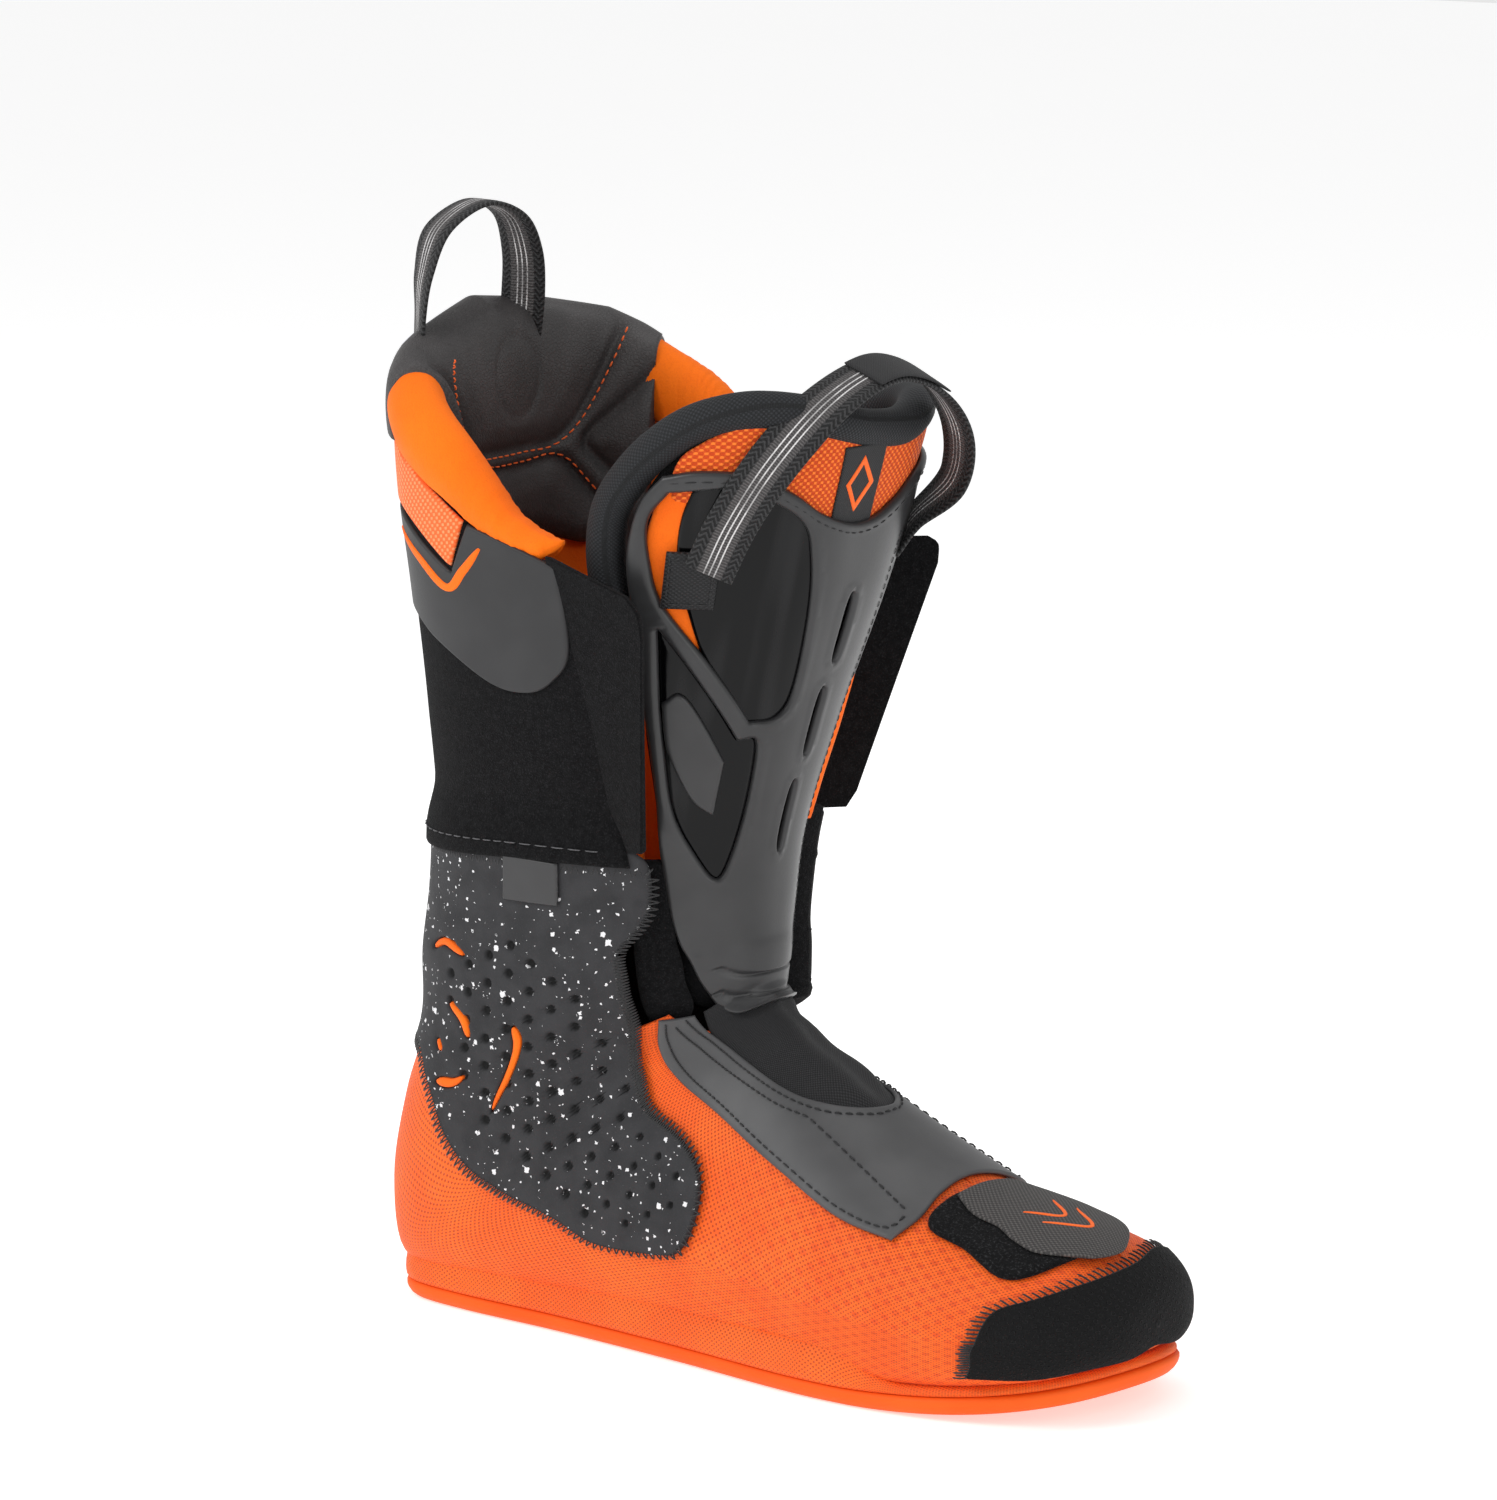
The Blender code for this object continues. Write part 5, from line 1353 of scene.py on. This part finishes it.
def make_flaps():
    """Pile closure flaps, each with a piped and stitched end to its seam."""
    for side, corners in (("lateral", LATERAL_FLAP), ("medial", MEDIAL_FLAP)):
        chart = flap_chart(corners)
        outward = 1.0 if side == "lateral" else -1.0
        hinge = (chart.place(FLAP_HINGE, 0.0) - [HEEL_TO_ORIGIN, 0.0, 0.0]) * MM
        bend = ("liner", f"{side}_closure", tuple(hinge[0]), tuple(hinge[1]))
        panel(f"flap_{side}", FLAP_OUTLINES[side], (-1.2, 1.2), PILE, [f"{side}_flap"], bend, chart,
              step=2.0, edge=1.0)
        seam = np.linspace((FLAP_SIZE[0] * 0.66, -1.0), (FLAP_SIZE[0] * 0.99, -1.0), 24)
        centres = chart.place(seam, outward * 1.3)
        rings = roll_rings(centres, chart.place(seam, outward * 2.3) - centres, tapered(24, 1.3, 2), 12)
        points, faces = closed_tube(rings)
        add_piece(f"seam_piping_{side}", points, faces, PIPING, body=f"{side}_closure")
        threads(f"seam_stitch_{side}", chart, running(seam + [0.0, 1.9], 1.8, 0.9), outward * 1.3, 0.22,
                GREY_THREAD, f"{side}_closure", inwards=outward < 0)


# ---------------------------------------------------------------- tongue

TONGUE_FOAM = [(241, 0), (256, -30), (286, -42), (330, -46), (365, -50), (400, -56), (436, -60),
               (462, -62), (478, -60), (489, -52), (495, -36), (491, 0), (494, 18), (497, 36), (491, 52),
               (478, 61), (462, 63), (436, 61), (400, 57), (365, 50), (330, 46), (286, 42), (256, 30)]
TONGUE_SHELL = [(216, 0), (224, -18), (242, -29), (286, -38), (330, -44), (365, -49), (400, -54), (440, -59),
                (466, -60), (482, -56, 1), (484, -46), (479, -32), (471, -21), (466, -10), (466, 2),
                 (470, 15),
                (477, 26), (483, 38), (484, 50), (482, 58, 1), (474, 62), (462, 64), (450, 64), (430, 61),
                (411, 58), (395, 55), (378, 52), (362, 50), (346, 47), (320, 42), (282, 36), (242, 28),
                (224, 17)]
TONGUE_MESH = [(454, 0), (466, -30), (474, -52, 1), (484, -52), (492, -38), (492, -22), (493, 0),
               (497, 22), (500, 38), (491, 52), (484, 56), (474, 56, 1), (468, 30)]
WINDOW_UPPER = [(477, 56, 1), (478, 40), (468, 22), (455, 16), (436, 13), (413, 12), (405, 17), (404, 27, 1),
                (423, 42), (441, 55), (455, 59), (468, 60)]
WINDOW_LOWER = [(434, 56, 1), (417, 44), (398, 30, 1), (397, 23), (378, 22), (362, 25), (353, 31), (362, 40),
                (375, 47), (395, 51), (415, 54)]
WINDOW_UPPER_INNER = [(474, -54, 1), (470, -40), (442, -36), (413, -35, 1), (428, -46), (452, -55)]
WINDOW_LOWER_INNER = [(404, -50, 1), (388, -36), (362, -34, 1), (364, -41), (380, -47)]
WINDOW_FILMS = {
    "upper_lateral": [(479, 51, 1), (480, 40), (470, 20), (456, 14), (436, 11), (412, 10), (402, 16),
                      (401, 28, 1), (423, 43), (441, 50), (455, 53), (468, 53)],
}
TONGUE_FOLD = [(370, -56, 1), (370, -42, 1), (330, -40), (286, -36), (252, -31), (236, -33, 1), (244, -48),
               (290, -56), (330, -58)]
TONGUE_SIDE = [(422, -60, 1), (418, -46), (400, -42), (364, -40, 1), (364, -58, 1), (400, -60)]
WINDOW_LINING = [(478, 50, 1), (440, 47), (400, 42), (372, 42, 1), (380, 51), (410, 57), (450, 61.5),
                 (478, 58.5, 1)]
WINDOW_BAR = [(410, 53, 1), (412, 47), (391, 33, 1), (373, 34, 1), (379, 42), (394, 50)]
SLOTS = [((443, -7), (421, -6)), ((413, -4), (391, -3)), ((383, 0), (360, 2))]
CREASES = [
    [(294, 30), (278, 20), (270, 8), (270, -8), (280, -24)],
    [(268, 31), (248, 20), (238, 8), (238, -8), (248, -22)],
]
TONGUE_TAG = [(465, 10, 1), (465, -10, 1), (490, -10, 1), (490, 10, 1)]
TAG_DIAMOND = [(487, 0, 1), (478, 7, 1), (469, 0, 1), (478, -7, 1)]
TONGUE_WING = [(352, 54, 1), (400, 60), (431, 63, 1), (431, 69, 1), (400, 64), (352, 57, 1)]
STRAP_PATCH = [(441, 43, 1), (441, 55.5, 1), (459, 55, 1), (459, 42.5, 1)]
BINDING_PATH = [(436, 67), (452, 70), (467, 70), (478, 67), (489, 61), (498, 52), (502, 40), (501, 26),
                (497, 10), (494, -6), (493, -22), (497, -38), (496, -50), (487, -60), (474, -65), (458, -66),
                (440, -66)]


def over_gusset(flat):
    """The tongue's lower end lies over the stretch gusset."""
    return 1.6 * (1 - smooth_step(flat[:, 0], 222, 250))


WINDOWS = {"upper_lateral": WINDOW_UPPER, "lower_lateral": WINDOW_LOWER,
           "upper_medial": WINDOW_UPPER_INNER, "lower_medial": WINDOW_LOWER_INNER}
EDGE_SEAM = [(480, 57), (481, 48), (480, 38), (474, 26), (467, 15), (463, 2), (463, -10), (468, -21),
             (476, -32), (481, -46)]
SIDE_SEAM = [(460, -29), (431, -28), (406, -26.5), (374, -25), (341, -23), (300, -20)]
BINDING_RADIUS = 6.2
BINDING_SIDES = 24


def tongue_seam(name, line, stitches, depth, radius):
    """Black stitches on the tongue along a line in its chart."""
    threads(name, FRONT, running(line, *stitches), depth, radius, BLACK_THREAD, "tongue")


def make_frame():
    """Moulded frame of the tongue, with its windows, slots and creases."""
    slots = [band([start, ((start[0] + end[0]) / 2, (start[1] + end[1]) / 2), end], 1.5)
             for start, end in SLOTS]
    holes = [*WINDOWS.values(), *slots]
    creases = [smooth_path(flat_body(line), 8) for line in CREASES]
    openings = [outline_loop(FRONT, outline, 1.2) for outline in holes]

    def relief(flat, to_edge, world):
        gap = np.min([distance_to(loop, flat) for loop in openings], axis=0)
        ridge = 0.45 * np.exp(-((gap - 1.4) / 0.9) ** 2)
        rolled = 0.4 * np.exp(-((to_edge - 1.5) / 1.0) ** 2)
        crease = np.min([distance_to(line, flat, closed=False) for line in creases], axis=0)
        return np.maximum(ridge, rolled) - 0.9 * np.exp(-(crease / 1.5) ** 2)

    panel("tongue_frame", TONGUE_SHELL, (0.6, 2.6), TONGUE_SATIN, ["tongue_shell"], chart=FRONT,
          holes=holes, step=1.7, edge=0.8, relief=relief, lift=over_gusset)
    for name, outline in WINDOWS.items():
        film = WINDOW_FILMS.get(name, shrunk_outline(outline, 1.03))
        panel(f"window_{name}", film, (-0.6, 1.0), GLOSS, [f"tongue_window_{name}"], chart=FRONT)


def make_tongue():
    """Padding, knit, frame, folds, tags, stitches and bound edge of the tongue."""
    foam = panel("tongue_padding", TONGUE_FOAM, (-9.0, -2.8), LINING_BLACK, ["tongue_foam"], chart=FRONT,
                 step=2.6, edge=2.4)
    panel("tongue_knit", TONGUE_MESH, (-1.8, 0.2), TONGUE_KNIT, ["tongue_mesh"], chart=FRONT, step=2.0)
    make_frame()
    on_tongue = dict(body="tongue", chart=FRONT)
    panel("tongue_fold", TONGUE_FOLD, (0.0, 14.0), PILE, step=2.0, edge=3.0, **on_tongue)
    panel("tongue_side", TONGUE_SIDE, (0.0, 8.5), LINING_ORANGE, step=2.0, edge=2.5, **on_tongue)
    panel("window_lining", WINDOW_LINING, (-1.6, -0.3), LINING_ORANGE, step=2.0, **on_tongue)
    panel("window_bar", WINDOW_BAR, (0.9, 2.5), TONGUE_SATIN, step=1.5, edge=0.7, **on_tongue)
    panel("loop_tag", TONGUE_TAG, (0.3, 1.0), LABEL_CLOTH, ["tongue_tag"], chart=FRONT, step=1.6, edge=0.4)
    panel("tag_diamond", TAG_DIAMOND, (0.8, 1.3), ORANGE_PRINT, step=1.2, edge=0.2,
          holes=[shrunk_outline(TAG_DIAMOND, 0.68)], **on_tongue)
    both_sides("tongue_side", TONGUE_WING, (-6.0, -3.4), LINING_ORANGE, ["tongue_wing"], chart=FRONT,
               step=2.0)
    panel("strap_foot", STRAP_PATCH, (2.8, 4.4), PATCH_CLOTH, ["strap_patch"], chart=FRONT, step=1.5)
    square = outline_loop(FRONT, shrunk_outline(STRAP_PATCH, 0.8), 1.0)
    tongue_seam("strap_foot_stitch", np.concatenate([square, square[:1]]), (1.7, 0.8), 4.45, 0.24)
    tongue_seam("tongue_edge_stitch", smooth_path(flat_body(EDGE_SEAM), 10), (1.9, 0.9), 2.75, 0.22)
    tongue_seam("tongue_side_stitch", smooth_path(flat_body(SIDE_SEAM), 8), (1.9, 0.9), 2.7, 0.16)
    make_binding()


def make_binding():
    """Padded roll round the top of the tongue."""
    route = smooth_path(flat_body(BINDING_PATH), 10)
    centres = FRONT.place(route, -4.0)
    outwards = FRONT.place(route, -3.0) - centres
    rings = roll_rings(centres, outwards, tapered(len(route), BINDING_RADIUS, 4), BINDING_SIDES)
    points, faces = closed_tube(rings)
    lengths = np.repeat(np.arange(len(route)), BINDING_SIDES) * 1.8
    chart_at = np.stack([lengths, np.tile(np.arange(BINDING_SIDES), len(route)) * 1.4], axis=1)
    chart_at = np.concatenate([chart_at, chart_at[:1], chart_at[-1:]])
    binding = add_piece("binding_roll", points, faces, BINDING_CLOTH, ["tongue_binding"], chart_at=chart_at)


# ---------------------------------------------------------------- webbing

REAR_LOOP = [(20, -25, 306), (21.5, -26, 322), (23, -26, 335), (25, -21, 349), (28, -5, 356.5), (30, 9, 352),
             (30.5, 15, 340), (30, 16, 325.5), (28, 16, 310)]
REAR_LOOP_WIDTHS = [(0.75, -0.65, 0), (0.75, -0.65, 0), (0.85, -0.5, 0), (0.95, -0.3, 0), (1, -0.3, 0),
                    (1, -0.1, 0), (1, 0.15, 0), (1, 0.3, 0), (1, 0.3, 0)]
TONGUE_LOOP = [(145.5, -41, 252), (152, -38, 267), (163, -34, 285), (173.5, -23, 302),
               (177, -4, 311), (178, 13, 312), (181, 29, 305), (183, 39, 291), (178, 44, 275),
               (164, 44, 262), (157, 43, 252)]
TONGUE_LOOP_WIDTHS = [(0.7, 0.65, -0.25), (0.72, 0.62, -0.3), (0.78, 0.5, -0.35), (0.88, 0.25, -0.38),
                      (0.91, -0.05, -0.38), (0.91, -0.15, -0.37), (0.91, -0.15, -0.37),
                      (0.9, -0.2, -0.35), (0.88, -0.4, -0.3), (0.75, -0.62, -0.15), (0.7, -0.7, -0.1)]


RIBBON_SPAN = 14                # steps between two points of a webbing path
WEBBING_THICKNESS = 1.9
# The bodies that a loop bends between, and where the bend starts and ends, in metres.
REAR_BEND = ("liner", "rear_loop", (-0.12, 0.0, 0.322), (-0.12, 0.0, 0.338))
FRONT_BEND = ("tongue", "tongue_loop", (0.005, 0.0, 0.256), (0.005, 0.0, 0.272))


def ribbon_frames(points, widths):
    """Centres, width directions and face normals along a webbing path."""
    centres = smooth_path(points, RIBBON_SPAN)
    across = smooth_path(widths, RIBBON_SPAN)
    ahead = unit(np.gradient(centres, axis=0))
    across = unit(across - ahead * (across * ahead).sum(1)[:, None])
    return centres, across, np.cross(across, ahead)


def ribbon(name, frames, width, thickness, lift, material, node, body=None):
    """A webbing strip with round selvedges; its chart runs along and across it."""
    around = 26
    angles = np.linspace(0, 2 * math.pi, around, endpoint=False)
    flat = np.sign(np.cos(angles)) * np.abs(np.cos(angles)) ** 0.5
    thick = np.sign(np.sin(angles)) * np.abs(np.sin(angles)) ** 0.6
    centres, across, face = frames
    rings = [centre + face_here * lift + np.outer(flat, side) * width / 2
             + np.outer(thick, face_here) * thickness / 2
             for centre, side, face_here in zip(centres, across, face)]
    points, faces = closed_tube(rings)
    lengths = np.concatenate([[0], np.cumsum(np.linalg.norm(np.diff(centres, axis=0), axis=1))])
    chart_at = np.stack([np.repeat(lengths, around), np.tile(flat * width / 2, len(centres))], axis=1)
    chart_at = np.concatenate([chart_at, [[0, 0], [lengths[-1], 0]]])
    return add_piece(name, points, faces, material, [node], body, chart_at)


def make_loops():
    """Pull loops at the rear and on the tongue, which bend above their sewn feet, and the loop's label."""
    rear = ribbon_frames(REAR_LOOP, REAR_LOOP_WIDTHS)
    front = ribbon_frames(TONGUE_LOOP, TONGUE_LOOP_WIDTHS)
    ribbon("rear_loop", rear, 15.0, WEBBING_THICKNESS, 0.0, WEBBING, "rear_pull_loop", REAR_BEND)
    ribbon("front_loop", front, WEBBING_WIDTH, WEBBING_THICKNESS, 0.0, WEBBING, "tongue_pull_loop",
           FRONT_BEND)
    label = [part[RIBBON_SPAN * 4:RIBBON_SPAN * 6 + 1] for part in front]
    ribbon("loop_label", label, 15.4, 0.9, 1.6, LABEL_CLOTH, "strap_label")


# ---------------------------------------------------------------- stage

CAMERA_AZIMUTH, CAMERA_ELEVATION = math.radians(36.0), math.radians(10.3)
CAMERA_DISTANCE, CAMERA_LENS = 2.0, 153.1
CAMERA_TARGET = (-0.012, 0.0, 0.190)
LIGHT_TARGET = (0.0, 0.0, 0.16)
LIGHTS = [
    ("key", (-0.9, -1.5, 1.6), (1.0, 1.2), 22.0),
    ("fill", (1.6, -0.7, 0.8), (0.5, 1.6), 6.0),
    ("top", (0.1, 0.3, 1.9), (1.6, 1.2), 10.0),
]
WHITE = (1.0, 1.0, 1.0, 1.0)


def make_camera():
    """Camera at the photograph's angle."""
    flat = math.cos(CAMERA_ELEVATION)
    back = Vector((math.sin(CAMERA_AZIMUTH) * flat, -math.cos(CAMERA_AZIMUTH) * flat,
                   math.sin(CAMERA_ELEVATION)))
    data = bpy.data.cameras.new("camera")
    data.lens = CAMERA_LENS
    data.sensor_width = 36.0
    camera = bpy.data.objects.new("camera", data)
    camera.location = Vector(CAMERA_TARGET) + back * CAMERA_DISTANCE
    camera.rotation_euler = back.to_track_quat("Z", "Y").to_euler()
    bpy.context.scene.collection.objects.link(camera)
    bpy.context.scene.camera = camera


def area_light(name, place, size, power):
    """A soft rectangular light aimed at the liner."""
    data = bpy.data.lights.new(name, "AREA")
    data.shape = "RECTANGLE"
    data.size, data.size_y = size
    data.energy = power
    light = bpy.data.objects.new(name, data)
    light.location = place
    light.rotation_euler = (Vector(place) - Vector(LIGHT_TARGET)).to_track_quat("Z", "Y").to_euler()
    bpy.context.scene.collection.objects.link(light)


def make_world():
    """Pale surroundings, dimmer overhead."""
    world = bpy.data.worlds.new("studio")
    world.use_nodes = True
    tree = world.node_tree
    background = tree.nodes["Background"]
    background.inputs["Color"].default_value = WHITE
    direction = tree.nodes.new("ShaderNodeTexCoord").outputs["Generated"]
    split = tree.nodes.new("ShaderNodeSeparateXYZ")
    fade = tree.nodes.new("ShaderNodeMapRange")
    tree.links.new(direction, split.inputs[0])
    tree.links.new(split.outputs[2], fade.inputs["Value"])
    for socket, value in (("From Min", 0.25), ("From Max", 0.7), ("To Min", 0.8), ("To Max", 0.35)):
        fade.inputs[socket].default_value = value
    tree.links.new(fade.outputs[0], background.inputs["Strength"])
    bpy.context.scene.world = world


def make_stage():
    """Pale floor and soft studio light."""
    bpy.context.scene.view_settings.view_transform = "Standard"
    make_world()
    far = 6.0
    mesh = bpy.data.meshes.new("floor")
    mesh.from_pydata([(-far, -far, 0), (far, -far, 0), (far, far, 0), (-far, far, 0)], [], [(0, 1, 2, 3)])
    finish = Finish("floor", (0.93, 0.93, 0.93, 1.0), 0.9, specular=0.1)
    finish.colour(finish.mix(finish.noise(900.0), (0.925, 0.925, 0.925, 1.0), (0.945, 0.945, 0.945, 1.0)))
    finish.shader.inputs["Emission Color"].default_value = WHITE
    finish.shader.inputs["Emission Strength"].default_value = 0.5
    mesh.materials.append(finish.material)
    floor = bpy.data.objects.new("floor", mesh)
    bpy.context.scene.collection.objects.link(floor)
    for name, place, size, power in LIGHTS:
        area_light(name, place, size, power)


make_camera()
make_stage()
make_sole()
make_knit_skirt()
make_foot()
make_ankle()
make_toe()
make_instep()
make_cuff()
make_collar()
make_spoiler()
make_flaps()
make_tongue()
make_loops()
